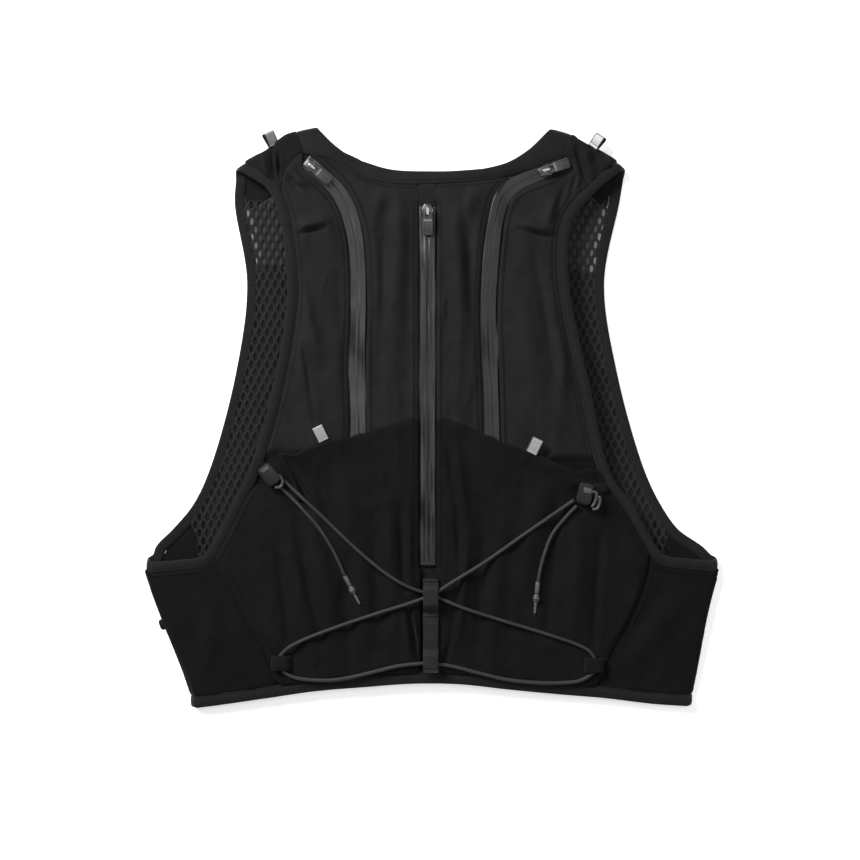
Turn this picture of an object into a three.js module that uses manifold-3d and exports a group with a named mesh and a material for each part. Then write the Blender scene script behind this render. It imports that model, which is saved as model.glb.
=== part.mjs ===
// A running vest with a built-in back pocket system, empty and lying flat with its back upwards.
// Units are millimetres, +Z is up, +Y runs from the hem to the shoulders, and the floor is z = 0.
// The front panels lie on the floor, the back lies over them, and the hollow between is for the torso.

import * as THREE from 'three';
import { mergeGeometries, mergeVertices } from 'three/addons/utils/BufferGeometryUtils.js';
import Module from 'manifold-3d';

const wasm = await Module();
wasm.setup();

// Size of the whole vest, lying flat
const vestWidth = 426;
const vestLength = 436;
const middleRise = 20;
const sideRise = 8;

// Cloth, mesh and bands
const clothWall = 1.2;
const meshWall = 1.0;
const bandWall = 2.0;
const bandWidth = 8;
const hemWidth = 9;
const hemWall = 2.0;
const clearance = 0.3;
const foldHeight = 2.4;
const foldWidth = 9;

// Back pockets
const pocketWall = 1.2;
const pocketGape = 5.0;
const gapeReach = 34;

// Zips
const zipWidth = 13;
const zipWall = 1.2;
const sliderLength = 12;
const sliderWidth = 9;
const sliderHeight = 2.6;
const bailWidth = 2.2;
const bailWall = 1.0;
const pullLength = 16;
const pullWidth = 7.5;
const pullWall = 1.6;

// Net in the upper front
const netHoleWide = 4.4;
const netHoleTall = 5.4;
const netPitchAcross = 7.5;
const netPitchAlong = 7.5;
const netReach = 62;

// Ladder webbing, loops, cord and locks
const webbingWidth = 11;
const webbingWall = 1.2;
const cordDiameter = 2.8;
const tapeWall = 0.7;
const loopTapeWidth = 9;
const loopTapeLength = 11;
const shoulderLoopLength = 8;
const keeperWidth = 13;
const keeperLength = 9;
const lockLength = 16;
const lockWidth = 11;
const lockHeight = 6.5;
const hookWidth = 3;
const anchorWall = 1.2;
const endTubeLength = 9;
const endTubeDiameter = 3.8;
const knotDiameter = 5.4;
const sideTabReach = 2.6;
const sideTabLength = 6;

// Hidden front
const frontGap = 50;
const strapWidth = 20;
const strapWall = 1.8;

const halfWidth = vestWidth / 2;

// Tables give places as shares: u of the half width from the middle, v of the length from the hem.
const table = (names, rows) => rows.map((row) => Object.fromEntries(names.map((name, k) => [name, row[k]])));
const at = (u, v) => new THREE.Vector3(u * halfWidth, (v - 0.5) * vestLength, 0);

// Edges of the back armholes, from the underarm to the shoulder
const backArmhole = {
  left: table(['u', 'v'], [
    [-0.981, 0.252], [-0.887, 0.256], [-0.805, 0.264], [-0.746, 0.306], [-0.694, 0.358], [-0.641, 0.410],
    [-0.567, 0.530], [-0.514, 0.668], [-0.507, 0.735], [-0.539, 0.849], [-0.577, 0.890], [-0.665, 0.919],
  ]),
  right: table(['u', 'v'], [
    [0.981, 0.254], [0.900, 0.258], [0.812, 0.266], [0.754, 0.306], [0.697, 0.355], [0.627, 0.401],
    [0.546, 0.565], [0.486, 0.702], [0.475, 0.775], [0.493, 0.835], [0.574, 0.886], [0.656, 0.920],
  ]),
};

// Edges of the front armholes, from the shoulder to the underarm
const frontArmhole = {
  left: table(['u', 'v'], [
    [-0.690, 0.910], [-0.694, 0.866], [-0.651, 0.731], [-0.690, 0.577], [-0.782, 0.411],
    [-0.842, 0.349], [-0.912, 0.308], [-0.970, 0.279], [-0.981, 0.264],
  ]),
  right: table(['u', 'v'], [
    [0.674, 0.911], [0.658, 0.866], [0.606, 0.731], [0.651, 0.577], [0.746, 0.411],
    [0.806, 0.349], [0.866, 0.308], [0.950, 0.279], [0.981, 0.264],
  ]),
};

// Edge of the neck and, below it, the seam of the neck band, both across the back from left to right
const neckEdge = table(['u', 'v'], [
  [-0.395, 0.9925], [-0.350, 0.970], [-0.289, 0.948], [-0.222, 0.935], [-0.141, 0.924], [0.0, 0.921],
  [0.134, 0.923], [0.204, 0.928], [0.271, 0.938], [0.342, 0.960], [0.405, 0.990],
]);
const neckSeam = table(['u', 'v'], [
  [-0.470, 0.984], [-0.454, 0.957], [-0.359, 0.944], [-0.282, 0.928], [-0.222, 0.912], [-0.141, 0.902],
  [0.0, 0.902], [0.120, 0.905], [0.218, 0.910], [0.310, 0.921], [0.465, 0.950], [0.481, 0.978],
]);

// Seam of each shoulder yoke across the back, from the armhole band to the neck band
const yokeSeam = {
  left: table(['u', 'v'], [[-0.528, 0.905], [-0.520, 0.925], [-0.500, 0.942], [-0.465, 0.953]]),
  right: table(['u', 'v'], [[0.500, 0.895], [0.505, 0.915], [0.497, 0.933], [0.470, 0.947]]),
};

// Shoulder fold, and the seams of the side panels on the back, both from the hem or armhole inwards
const shoulderFold = {
  left: table(['u', 'v'], [[-0.665, 0.935], [-0.570, 0.962], [-0.511, 0.984], [-0.475, 0.990]]),
  right: table(['u', 'v'], [[0.656, 0.935], [0.581, 0.959], [0.521, 0.976], [0.486, 0.988]]),
};
const sideSeam = {
  left: table(['u', 'v'], [
    [-0.538, 0.044], [-0.574, 0.098], [-0.637, 0.150], [-0.690, 0.201], [-0.745, 0.246],
  ]),
  right: table(['u', 'v'], [[0.580, 0.040], [0.623, 0.095], [0.676, 0.133], [0.736, 0.194], [0.765, 0.246]]),
};

// Side folds, which are the vest's outline, from the hem to the underarm
const sideFold = {
  left: table(['u', 'v'], [
    [-0.858, 0.022], [-0.880, 0.060], [-0.923, 0.122], [-0.960, 0.180], [-0.990, 0.235],
  ]),
  right: table(['u', 'v'], [[0.912, 0.020], [0.923, 0.050], [0.944, 0.112], [0.965, 0.180], [0.990, 0.235]]),
};
const frontSideSeam = {
  left: table(['u', 'v'], [[-0.730, 0.036], [-0.790, 0.180], [-0.832, 0.315]]),
  right: table(['u', 'v'], [[0.760, 0.036], [0.800, 0.180], [0.830, 0.310]]),
};

// Bottom edge of the back, from left to right, and the stretch of it that the front repeats
const hemEdge = table(['u', 'v'], [
  [-0.826, 0.002], [-0.746, 0.007], [-0.577, 0.019], [-0.408, 0.031], [-0.239, 0.038], [-0.070, 0.044],
  [0.099, 0.043], [0.268, 0.034], [0.437, 0.026], [0.606, 0.019], [0.775, 0.009], [0.893, 0.005],
]);
const frontHem = {
  left: table(['u', 'v'], [[-0.826, 0.008], [-0.577, 0.026], [-0.300, 0.042], [-0.150, 0.050]]),
  right: table(['u', 'v'], [[0.893, 0.011], [0.606, 0.026], [0.300, 0.042], [0.150, 0.050]]),
};

// Middle of the centre zip and its ends, and the middle lines of the side zips from the pockets up.
// The last column is how much of the tape's width shows: the neck band covers the rest.
const centreZip = { u: -0.015, low: 0.251, high: 0.860 };
const zipLine = {
  left: table(['u', 'v', 'wide'], [
    [-0.261, 0.441, 1], [-0.259, 0.482, 1], [-0.262, 0.589, 1], [-0.257, 0.700, 1], [-0.266, 0.800, 1],
    [-0.290, 0.850, 0.95], [-0.330, 0.887, 0.9], [-0.385, 0.914, 0.85], [-0.437, 0.935, 0.8],
  ]),
  right: table(['u', 'v', 'wide'], [
    [0.211, 0.435, 1], [0.209, 0.482, 1], [0.203, 0.589, 1], [0.197, 0.680, 1], [0.209, 0.781, 1],
    [0.224, 0.837, 0.95], [0.252, 0.880, 0.85], [0.300, 0.901, 0.75], [0.352, 0.912, 0.7],
    [0.418, 0.925, 0.65],
  ]),
};

// Top edges of the pockets, from the outer corner to the middle
const pocketMouth = {
  left: table(['u', 'v'], [
    [-0.610, 0.386], [-0.550, 0.388], [-0.505, 0.412], [-0.420, 0.450], [-0.289, 0.465], [-0.165, 0.484],
    [-0.060, 0.503],
  ]),
  right: table(['u', 'v'], [
    [0.588, 0.408], [0.520, 0.416], [0.451, 0.423], [0.310, 0.444], [0.144, 0.480], [0.028, 0.501],
  ]),
};

// Main folds: a row each, with its two ends and its width and height as shares of the fold sizes
const folds = table(['on', 'u0', 'v0', 'u1', 'v1', 'wide', 'high'], [
  ['back', -0.482, 0.815, -0.366, 0.830, 0.8, 0.9],
  ['back', 0.299, 0.826, 0.423, 0.812, 0.8, 0.9],
  ['back', -0.472, 0.737, -0.394, 0.599, 0.9, 0.8],
  ['back', -0.479, 0.651, -0.426, 0.520, 0.9, 0.7],
  ['back', 0.310, 0.719, 0.390, 0.520, 1.0, 0.6],
  ['back', -0.113, 0.870, -0.141, 0.640, 1.2, 0.7],
  ['back', 0.070, 0.870, 0.105, 0.640, 1.2, 0.8],
  ['back', 0.440, 0.880, 0.400, 0.830, 0.8, 0.7],
  ['pocket', 0.070, 0.400, 0.099, 0.246, 1.0, 0.8],
  ['pocket', 0.099, 0.246, 0.050, 0.110, 1.0, 0.6],
  ['pocket', -0.113, 0.360, -0.075, 0.110, 1.0, 0.7],
  ['pocket', -0.430, 0.330, -0.340, 0.140, 1.1, 0.8],
  ['pocket', -0.306, 0.410, -0.270, 0.280, 1.0, 0.6],
  ['pocket', 0.380, 0.380, 0.310, 0.200, 1.1, 0.7],
  ['pocket', 0.520, 0.323, 0.500, 0.140, 1.0, 0.6],
]);

// Route of the lacing in millimetres: from the left lock, round both keepers and to the right lock.
// The last column is the height over what lies below, in cord diameters.
const lacingRoute = table(['x', 'y', 'over'], [
  [-110.5, -46.5, 0], [-97.5, -58.5, 0], [-81, -74, 0], [-57, -97, 0], [-34, -116, 0], [-17, -126, 0],
  [-7, -130, 0], [0, -132, 0], [7, -135.4, 0], [23, -141.4, 0], [55.5, -152, 0], [88, -162, 0],
  [106.5, -168.5, 0], [117, -174, 0], [121.5, -181, 0], [119.5, -190, 0], [110, -196, 0], [97, -197.5, 0],
  [79.5, -197.5, 0], [55.5, -195, 0], [36, -190.5, 0], [16.5, -185.5, 0], [0, -183, 0], [-23, -184.5, 0],
  [-42, -189, 0], [-58.5, -193, 0], [-74, -195.5, 0], [-95, -195, 0], [-106.5, -192, 0], [-113, -186, 0],
  [-113.5, -179, 0], [-108, -172.5, 0], [-99, -167, 0], [-74, -157, 0], [-42, -146, 0], [-17, -138, 0.6],
  [-7, -134.5, 1.15], [0, -131.5, 1.15], [7, -127.5, 1.15], [17, -121, 0.6], [39, -107.5, 0], [54, -97, 0],
  [71, -85, 0], [84, -76.5, 0], [95, -68.5, 0], [105.3, -61.5, 0],
]);
const tailRoute = {
  left: table(['x', 'y'], [
    [-114.5, -50], [-107.5, -56.5], [-98.5, -65.5], [-84, -82], [-75, -96], [-69, -108], [-65, -117.5],
  ]),
  right: table(['x', 'y'], [
    [107.5, -65.5], [99, -74.5], [89.3, -87], [84, -100], [80.3, -113.5], [78.8, -122],
  ]),
};
const tailTip = { left: { x: -53.5, y: -138.5 }, right: { x: 76.5, y: -146 } };

// Places of the small pieces, turned in degrees from straight up
const loopPlaces = table(['name', 'u', 'v', 'turn'], [
  ['reflective_loop_pocket_left', -0.377, 0.460, 26],
  ['reflective_loop_pocket_right', 0.345, 0.439, -26],
]);
const shoulderLoopPlaces = table(['name', 'side', 'share', 'turn'], [
  ['reflective_loop_shoulder_left', 'left', 0.56, 30],
  ['reflective_loop_shoulder_right', 'right', 0.53, -41],
]);
const keeperPlaces = table(['name', 'x', 'y'], [
  ['cord_keeper_left', -112.5, -183],
  ['cord_keeper_right', 120.5, -184.5],
]);
const lockPlaces = table(['side', 'x', 'y', 'turn'], [
  ['left', -120.5, -42.5, 38],
  ['right', 113.5, -56.5, -12],
]);

// Colours of the real cloth and trims
const finish = (colour, roughness, metalness = 0) => new THREE.MeshStandardMaterial({
  color: colour, roughness, metalness, side: THREE.DoubleSide,
});
const stretchCloth = finish(0x141416, 0.85);
const pocketCloth = finish(0x18181b, 0.9);
const netCloth = finish(0x0e0e10, 0.9);
const elasticBand = finish(0x1b1b1d, 0.8);
const laminate = finish(0x2a2a2c, 0.3);
const blackMetal = finish(0x202022, 0.35, 0.8);
const rubber = finish(0x18181a, 0.6);
const reflective = finish(0xc8c8ca, 0.45);
const bungee = finish(0x232325, 0.7);
const hardPlastic = finish(0x2c2c2f, 0.4);

const vest = new THREE.Group();
const pieces = {};

function addPiece(name, geometry, material) {
  const mesh = new THREE.Mesh(geometry, material);
  mesh.name = name;
  pieces[name] = mesh;
  vest.add(mesh);
  return mesh;
}

// Curves and offsets

function smoothPoints(points, steps) {
  return new THREE.CatmullRomCurve3(points, false, 'centripetal').getSpacedPoints(steps);
}

function smooth(rows, steps) {
  return smoothPoints(rows.map((row) => at(row.u, row.v)), steps);
}

function shares(points) {
  const lengths = [0];
  for (let k = 1; k < points.length; k += 1) {
    lengths.push(lengths[k - 1] + points[k].distanceTo(points[k - 1]));
  }
  return lengths.map((length) => length / lengths[points.length - 1]);
}

function pointAlong(points, share) {
  const marks = shares(points);
  const last = points.length - 2;
  const k = Math.min(last, Math.max(0, marks.findIndex((mark) => mark > share) - 1));
  const part = share >= 1 ? 1 : (share - marks[k]) / (marks[k + 1] - marks[k]);
  return share >= 1 ? points[last + 1].clone() : points[k].clone().lerp(points[k + 1], part);
}

// Moves each point of a line in the floor plane to the right of its direction
function offset(points, distance) {
  return points.map((point, k) => {
    const before = points[Math.max(0, k - 1)];
    const after = points[Math.min(points.length - 1, k + 1)];
    const along = after.clone().sub(before).setZ(0).normalize();
    return new THREE.Vector3(point.x + along.y * distance, point.y - along.x * distance, point.z);
  });
}

// Height of the back's outer face over the floor
function backTop(x, y) {
  const across = Math.max(0, 1 - Math.abs(x / halfWidth) ** 1.6);
  const along = Math.sin(Math.PI * THREE.MathUtils.clamp((y / vestLength + 0.5) * 0.9 + 0.05, 0, 1));
  return sideRise + (middleRise - sideRise) * across * along;
}

function relief(kind, x, y) {
  return folds.filter((fold) => fold.on === kind).reduce((sum, fold) => {
    const start = at(fold.u0, fold.v0);
    const run = at(fold.u1, fold.v1).sub(start);
    const here = new THREE.Vector3(x, y, 0).sub(start);
    const share = THREE.MathUtils.clamp(here.dot(run) / run.lengthSq(), 0, 1);
    const away = here.addScaledVector(run, -share).length() / (fold.wide * foldWidth);
    return sum + fold.high * foldHeight * Math.exp(-away * away) * Math.sin(Math.PI * (0.15 + 0.7 * share));
  }, 0);
}

// Solids from grids of points

// Closes the space between an outer and an inner grid; rows may join up into a ring
function solidBetween(outer, inner, ring = false) {
  const across = outer[0].length;
  const positions = [...outer.flat(), ...inner.flat()].flatMap((p) => [p.x, p.y, p.z]);
  const under = outer.length * across;
  const faces = [];
  const quad = (a, b, c, d) => faces.push(a, b, c, a, c, d);
  const index = (i, j) => (i % outer.length) * across + j;
  const rows = ring ? outer.length : outer.length - 1;
  for (let i = 0; i < rows; i += 1) {
    for (let j = 0; j < across - 1; j += 1) {
      const corners = [index(i, j), index(i, j + 1), index(i + 1, j + 1), index(i + 1, j)];
      quad(...corners);
      quad(...corners.map((corner) => corner + under).reverse());
    }
    const edge = across - 1;
    quad(index(i, 0), index(i + 1, 0), index(i + 1, 0) + under, index(i, 0) + under);
    quad(index(i + 1, edge), index(i, edge), index(i, edge) + under, index(i + 1, edge) + under);
  }
  for (let j = 0; !ring && j < across - 1; j += 1) {
    quad(index(0, j), index(0, j) + under, index(0, j + 1) + under, index(0, j + 1));
    quad(index(rows, j), index(rows, j + 1), index(rows, j + 1) + under, index(rows, j) + under);
  }
  const geometry = new THREE.BufferGeometry();
  geometry.setAttribute('position', new THREE.Float32BufferAttribute(positions, 3));
  geometry.setIndex(faces);
  return geometry;
}

// A flat plate from an outline in the floor plane, standing up from z = 0
function plate(corners, wall) {
  const shape = new THREE.Shape(corners.map(([x, y]) => new THREE.Vector2(x, y)));
  return new THREE.ExtrudeGeometry(shape, { depth: wall, bevelEnabled: false, steps: 1 });
}

function toSolid(geometry) {
  const bare = geometry.clone();
  bare.deleteAttribute('normal');
  bare.deleteAttribute('uv');
  const merged = mergeVertices(bare, 1e-4);
  const vertProperties = Float32Array.from(merged.attributes.position.array);
  return new wasm.Manifold(new wasm.Mesh({
    numProp: 3, vertProperties, triVerts: Uint32Array.from(merged.index.array),
  }));
}

function fromSolid(solid) {
  const mesh = solid.getMesh();
  const geometry = new THREE.BufferGeometry();
  geometry.setAttribute('position', new THREE.Float32BufferAttribute(mesh.vertProperties, 3));
  geometry.setIndex(Array.from(mesh.triVerts));
  return geometry;
}

// A wall of cloth whose outer face is a grid, rows running up and columns running right
function clothSheet(grid, wall) {
  const inner = grid.map((row, i) => row.map((point, j) => {
    const right = row[Math.min(row.length - 1, j + 1)].clone().sub(row[Math.max(0, j - 1)]);
    const up = grid[Math.min(grid.length - 1, i + 1)][j].clone().sub(grid[Math.max(0, i - 1)][j]);
    return point.clone().addScaledVector(right.cross(up).normalize(), -wall);
  }));
  return solidBetween(grid, inner);
}

// How far a line stands off the straight line between its own ends, at a share of its points
function bulge(line, share) {
  const k = share * (line.length - 1);
  const low = Math.min(line.length - 2, Math.floor(k));
  const here = line[low].clone().lerp(line[low + 1], k - low);
  return here.sub(line[0].clone().lerp(line[line.length - 1], share)).setZ(0);
}

// Points of a line at the shares of its length that another line's points have
const resampled = (points, marks) => marks.map((mark) => pointAlong(points, mark));

// Rows between two rails of as many points, which run up; the low and high edges bulge like the lines given
function patch(left, right, low, high, across) {
  const marks = shares(left);
  return left.map((start, i) => steps(across).map((s) => {
    const point = start.clone().lerp(right[i], s);
    point.addScaledVector(bulge(low, s), 1 - marks[i]);
    return point.addScaledVector(bulge(high, s), marks[i]);
  }));
}

const steps = (count) => Array.from({ length: count + 1 }, (_, k) => k / count);

// Point of a line that runs from left to right, at a given x
function atX(line, x) {
  const found = line.findIndex((point) => point.x > x);
  const after = found < 0 ? line.length - 1 : Math.max(1, found);
  const before = line[after - 1];
  return before.clone().lerp(line[after], (x - before.x) / (line[after].x - before.x));
}

const onBack = (point, extra = 0) => new THREE.Vector3(point.x, point.y, backTop(point.x, point.y) + extra);

// Bands: a path with an outward direction at each point, and a width to one side

const bandProud = (bandWall - clothWall) / 2;
const foldClearance = 2.7 * clearance;
const turnSteps = [0.25, 0.5, 0.75];
const upwards = new THREE.Vector3(0, 0, 1);

// Half turn over a fold, from a point of the back to one of the front
function overFold(from, to, outward) {
  return turnSteps.map((share) => {
    const angle = Math.PI * (0.5 - share);
    const radius = from.z / 2;
    const point = from.clone().lerp(to, share).setZ(radius + radius * Math.sin(angle));
    point.addScaledVector(outward, radius * Math.cos(angle));
    const normal = outward.clone().multiplyScalar(Math.cos(angle)).addScaledVector(upwards, Math.sin(angle));
    return { point, normal, turn: true };
  });
}

function sideways(path, ring) {
  return path.map(({ point, normal }, k) => {
    const count = path.length;
    const before = ring ? path[(k + count - 1) % count].point : path[Math.max(0, k - 1)].point;
    const after = ring ? path[(k + 1) % count].point : path[Math.min(count - 1, k + 1)].point;
    const along = after.clone().sub(before);
    return along.cross(normal).setZ(0).normalize();
  });
}

function bandGrid(path, distances, ring) {
  const aside = sideways(path, ring);
  return path.map(({ point }, k) => distances.map((d) => point.clone().addScaledVector(aside[k], d)));
}

function bandSolid(path, distances, wall, ring = false) {
  const outer = bandGrid(path, distances, ring);
  const inner = outer.map((row, k) => row.map((p) => p.clone().addScaledVector(path[k].normal, -wall)));
  return solidBetween(outer, inner, ring);
}

// The line beside a band; over a fold, where facets of both sides bend, it keeps a wider gap
function besideBand(path, side, width, ring) {
  const aside = sideways(path, ring);
  return path.map(({ point, turn }, k) => (
    point.clone().addScaledVector(aside[k], side * (width + (turn ? foldClearance : clearance)))
  ));
}

const asPath = (points, normal) => points.map((point) => ({ point, normal: normal.clone() }));

// Armhole bands

const armholeSteps = 24;
const sideSeamStep = 3;
const yokeStep = 22;
const frontYokeStep = 2;
const frontSideStep = 20;
const foldOut = {
  shoulder: { left: new THREE.Vector3(-0.47, 0.88, 0), right: new THREE.Vector3(0.57, 0.82, 0) },
  underarm: { left: new THREE.Vector3(-1, 0, 0), right: new THREE.Vector3(1, 0, 0) },
};

// The ring of one armhole: up the back edge, over the shoulder, down the front edge and round the underarm
function armholePath(side) {
  const back = smooth(backArmhole[side], armholeSteps).map((point) => onBack(point, bandProud));
  const front = smooth(frontArmhole[side], armholeSteps);
  const over = overFold(back[armholeSteps], front[0], foldOut.shoulder[side]);
  const under = overFold(back[0], front[armholeSteps], foldOut.underarm[side]).reverse();
  return [...asPath(back, upwards), ...over, ...asPath(front, upwards.clone().negate()), ...under];
}

// Points of the armhole band's inner side, seam gap included, by their place in the ring
const armholes = {};
for (const side of ['left', 'right']) {
  const path = armholePath(side);
  const inward = side === 'left' ? 1 : -1;
  const beside = besideBand(path, inward, bandWidth, true);
  const frontStart = armholeSteps + 1 + turnSteps.length;
  const last = path.length;
  const pick = (from, to) => beside.slice(from, to + 1);
  armholes[side] = {
    path,
    side: pick(0, sideSeamStep),
    panel: pick(sideSeamStep, yokeStep),
    yokeBack: pick(yokeStep, armholeSteps),
    yokeTurn: pick(armholeSteps + 1, frontStart - 1),
    yokeFront: pick(frontStart, frontStart + frontYokeStep),
    front: pick(frontStart + frontYokeStep, frontStart + frontSideStep),
    underFront: pick(frontStart + frontSideStep, frontStart + armholeSteps),
    underTurn: pick(last - turnSteps.length, last - 1),
  };
  const distances = inward > 0 ? [0, bandWidth] : [-bandWidth, 0];
  addPiece(`armhole_band_${side}`, bandSolid(path, distances, bandWall, true), elasticBand);
}

// Neck band: across the back of the neck, over both shoulders and a little way down the front

const neckSteps = 24;
const neckCorner = 2;
const frontNeck = {
  left: {
    edge: table(['u', 'v'], [[-0.392, 0.982], [-0.380, 0.950], [-0.365, 0.915]]),
    seam: table(['u', 'v'], [[-0.465, 0.974], [-0.457, 0.945], [-0.440, 0.915]]),
  },
  right: {
    edge: table(['u', 'v'], [[0.402, 0.980], [0.390, 0.950], [0.370, 0.915]]),
    seam: table(['u', 'v'], [[0.476, 0.971], [0.466, 0.945], [0.445, 0.915]]),
  },
};

// Two steps down the seam's end beside the yoke, then even steps along the seam
function neckSeamPoints() {
  const ends = (from, to) => smooth(neckSeam.slice(from, to), neckCorner);
  const middle = smooth(neckSeam.slice(1, neckSeam.length - 1), neckSteps - 2 * neckCorner);
  return [...ends(0, 2), ...middle.slice(1, -1), ...ends(neckSeam.length - 2, neckSeam.length)];
}

const neckRails = {};
const foldedEnds = (points, frontLeft, frontRight) => {
  const back = points.map((point) => onBack(point, bandProud));
  const turn = (from, to, side) => overFold(from, to, foldOut.shoulder[side]).map(({ point }) => point);
  const left = smooth(frontLeft, neckCorner);
  const right = smooth(frontRight, neckCorner);
  return [
    ...left.slice().reverse(), ...turn(back[0], left[0], 'left').reverse(), ...back,
    ...turn(back[back.length - 1], right[0], 'right'), ...right,
  ];
};
neckRails.edge = foldedEnds(smooth(neckEdge, neckSteps), frontNeck.left.edge, frontNeck.right.edge);
neckRails.seam = foldedEnds(neckSeamPoints(), frontNeck.left.seam, frontNeck.right.seam);

// Rows run from the left front over the back to the right front, columns from the neck edge to the seam
addPiece('neck_band', clothSheet(neckRails.edge.map((point, k) => [
  point, point.clone().lerp(neckRails.seam[k], 0.5), neckRails.seam[k],
]), bandWall), elasticBand);

// The line one seam gap beyond the neck band's seam, in the order of the band's rows
const turnRows = turnSteps.length;
const neckBackStart = neckCorner + 1 + turnRows;
const neckBackEnd = neckBackStart + neckSteps;
const besideNeck = neckRails.seam.map((point, k) => {
  const away = point.clone().sub(neckRails.edge[k]).normalize();
  const atBack = k >= neckBackStart && k <= neckBackEnd;
  const atFront = k <= neckCorner || k > neckBackEnd + turnRows;
  return point.clone().addScaledVector(away, atBack || atFront ? clearance : foldClearance);
});
const neckPart = {
  left: besideNeck.slice(0, neckBackStart + neckCorner + 1).reverse(),
  right: besideNeck.slice(neckBackEnd - neckCorner),
};
const underNeck = besideNeck.slice(neckBackStart + neckCorner, neckBackEnd - neckCorner + 1);

// Shoulder yokes: cloth folded over the shoulder, from the back seam to the front seam

// Lines of a sheet that is folded over an edge. The first and last lines run from the back seam over the
// fold to the front seam, and the lines between them bulge like the seams and the fold.
function wrapLines(first, last, edges, backCount, frontCount, lines) {
  const frontStart = first.length - frontCount;
  return steps(lines).map((t) => first.map((start, k) => {
    const point = start.clone().lerp(last[k], t);
    const toFold = Math.min(1, k / (backCount - 1));
    const toFront = Math.max(0, (k - frontStart) / (frontCount - 1));
    point.addScaledVector(bulge(edges.back, t), 1 - toFold);
    point.addScaledVector(bulge(edges.fold, t), toFold * (1 - toFront));
    point.addScaledVector(bulge(edges.front, t), toFront);
    return k < backCount && t > 0 && t < 1 ? onBack(point) : point;
  }));
}

// Columns of points to rows of a sheet, from left to right
const rowsOf = (columns) => columns[0].map((_, k) => columns.map((column) => column[k]));

const yokeColumns = 6;
const yokeEdges = {};
const yokeFolds = {};
for (const side of ['left', 'right']) {
  const hole = armholes[side];
  const first = [...hole.yokeBack, ...hole.yokeTurn, ...hole.yokeFront];
  const edges = {
    back: smooth(yokeSeam[side], yokeColumns),
    fold: smooth(shoulderFold[side], yokeColumns),
    front: [first[first.length - 1], neckPart[side][first.length - 1]],
  };
  yokeEdges[side] = edges.back;
  const backCount = hole.yokeBack.length;
  const lines = wrapLines(first, neckPart[side], edges, backCount, hole.yokeFront.length, yokeColumns);
  yokeFolds[side] = lines.map((line) => line[backCount + (turnRows - 1) / 2]);
  lines.slice(1, -1).forEach((line, column) => {
    const gather = foldHeight * 0.3 * (column % 2 === 0 ? 1 : -0.5);
    line.slice(0, backCount).forEach((point, k) => point.setZ(point.z + (k > 0 ? gather : 0)));
  });
  const columns = side === 'left' ? lines : lines.reverse();
  addPiece(`shoulder_yoke_${side}`, clothSheet(rowsOf(columns), clothWall), stretchCloth);
}

// Hem band: round the whole bottom edge, folded at both sides and open at the middle of the front

const hemSteps = 26;
const frontHemSteps = 8;
const hemBack = smooth(hemEdge, hemSteps).map((point) => onBack(point, bandProud));
const hemFront = {};
for (const side of ['left', 'right']) {
  const points = frontHem[side].map((row) => at(row.u, row.v));
  const last = points[points.length - 1];
  last.setX(Math.sign(last.x) * frontGap / 2);
  hemFront[side] = smoothPoints(points, frontHemSteps);
}
const downwards = upwards.clone().negate();
const hemPath = [
  ...asPath(hemFront.left.slice().reverse(), downwards),
  ...overFold(hemBack[0], hemFront.left[0], foldOut.underarm.left).reverse(),
  ...asPath(hemBack, upwards),
  ...overFold(hemBack[hemSteps], hemFront.right[0], foldOut.underarm.right),
  ...asPath(hemFront.right, downwards),
];
addPiece('hem_band', bandSolid(hemPath, [-hemWidth, 0], hemWall), elasticBand);
const overHem = bandGrid(hemPath, [-hemWidth - clearance]).map((row) => row[0]);
const hemBackFirst = frontHemSteps + 1 + turnRows;
const hemBackLast = hemBackFirst + hemSteps;
const aboveHem = overHem.slice(hemBackFirst, hemBackLast + 1);
const aboveFrontHem = {
  left: overHem.slice(0, frontHemSteps + 1).reverse(),
  right: overHem.slice(overHem.length - frontHemSteps - 1),
};
const hemTurn = {
  left: overHem.slice(frontHemSteps + 1, hemBackFirst).reverse(),
  right: overHem.slice(hemBackLast + 1, hemBackLast + 1 + turnRows),
};

// Where a line across the back meets the top of the hem band
const onHem = (x) => atX(aboveHem, x);

// The same for the front, where each half runs inwards from its side fold
function onFrontHem(side, x) {
  const line = aboveFrontHem[side];
  const inward = side === 'left' ? 1 : -1;
  const found = line.findIndex((point) => (point.x - x) * inward > 0);
  const after = found < 0 ? line.length - 1 : Math.max(1, found);
  const before = line[after - 1];
  return before.clone().lerp(line[after], (x - before.x) / (line[after].x - before.x));
}

// Side panels: from the back seam round the side fold to the front seam

const sideRows = 6;
const sideLines = {};
for (const side of ['left', 'right']) {
  const hole = armholes[side];
  const top = [...hole.underFront, ...hole.underTurn, ...hole.side].reverse();
  const foot = at(sideSeam[side][0].u, 0).x;
  const frontFoot = at(frontSideSeam[side][0].u, 0).x;
  const corner = side === 'left' ? aboveHem[0] : aboveHem[hemSteps];
  const frontCorner = aboveFrontHem[side][0];
  const backCount = hole.side.length;
  const frontCount = hole.underFront.length;
  const low = [
    ...steps(backCount - 1).map((s) => onHem(THREE.MathUtils.lerp(foot, corner.x, s))),
    ...hemTurn[side],
    ...steps(frontCount - 1).map((s) => onFrontHem(side, THREE.MathUtils.lerp(frontCorner.x, frontFoot, s))),
  ];
  const edges = {
    back: smooth(sideSeam[side], sideRows),
    fold: smooth(sideFold[side], sideRows),
    front: smooth(frontSideSeam[side], sideRows),
  };
  const lines = wrapLines(low, top, edges, backCount, frontCount, sideRows);
  sideLines[side] = {
    back: lines.map((line) => line[0]),
    fold: lines.map((line) => line[backCount + (turnRows - 1) / 2]),
    front: lines.map((line) => line[line.length - 1]),
  };
  const rows = side === 'left' ? lines.map((line) => line.slice().reverse()) : lines;
  addPiece(`side_panel_${side}`, clothSheet(rows, clothWall), stretchCloth);
}

// Zips: two halves of laminated tape that dip towards the teeth

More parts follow.
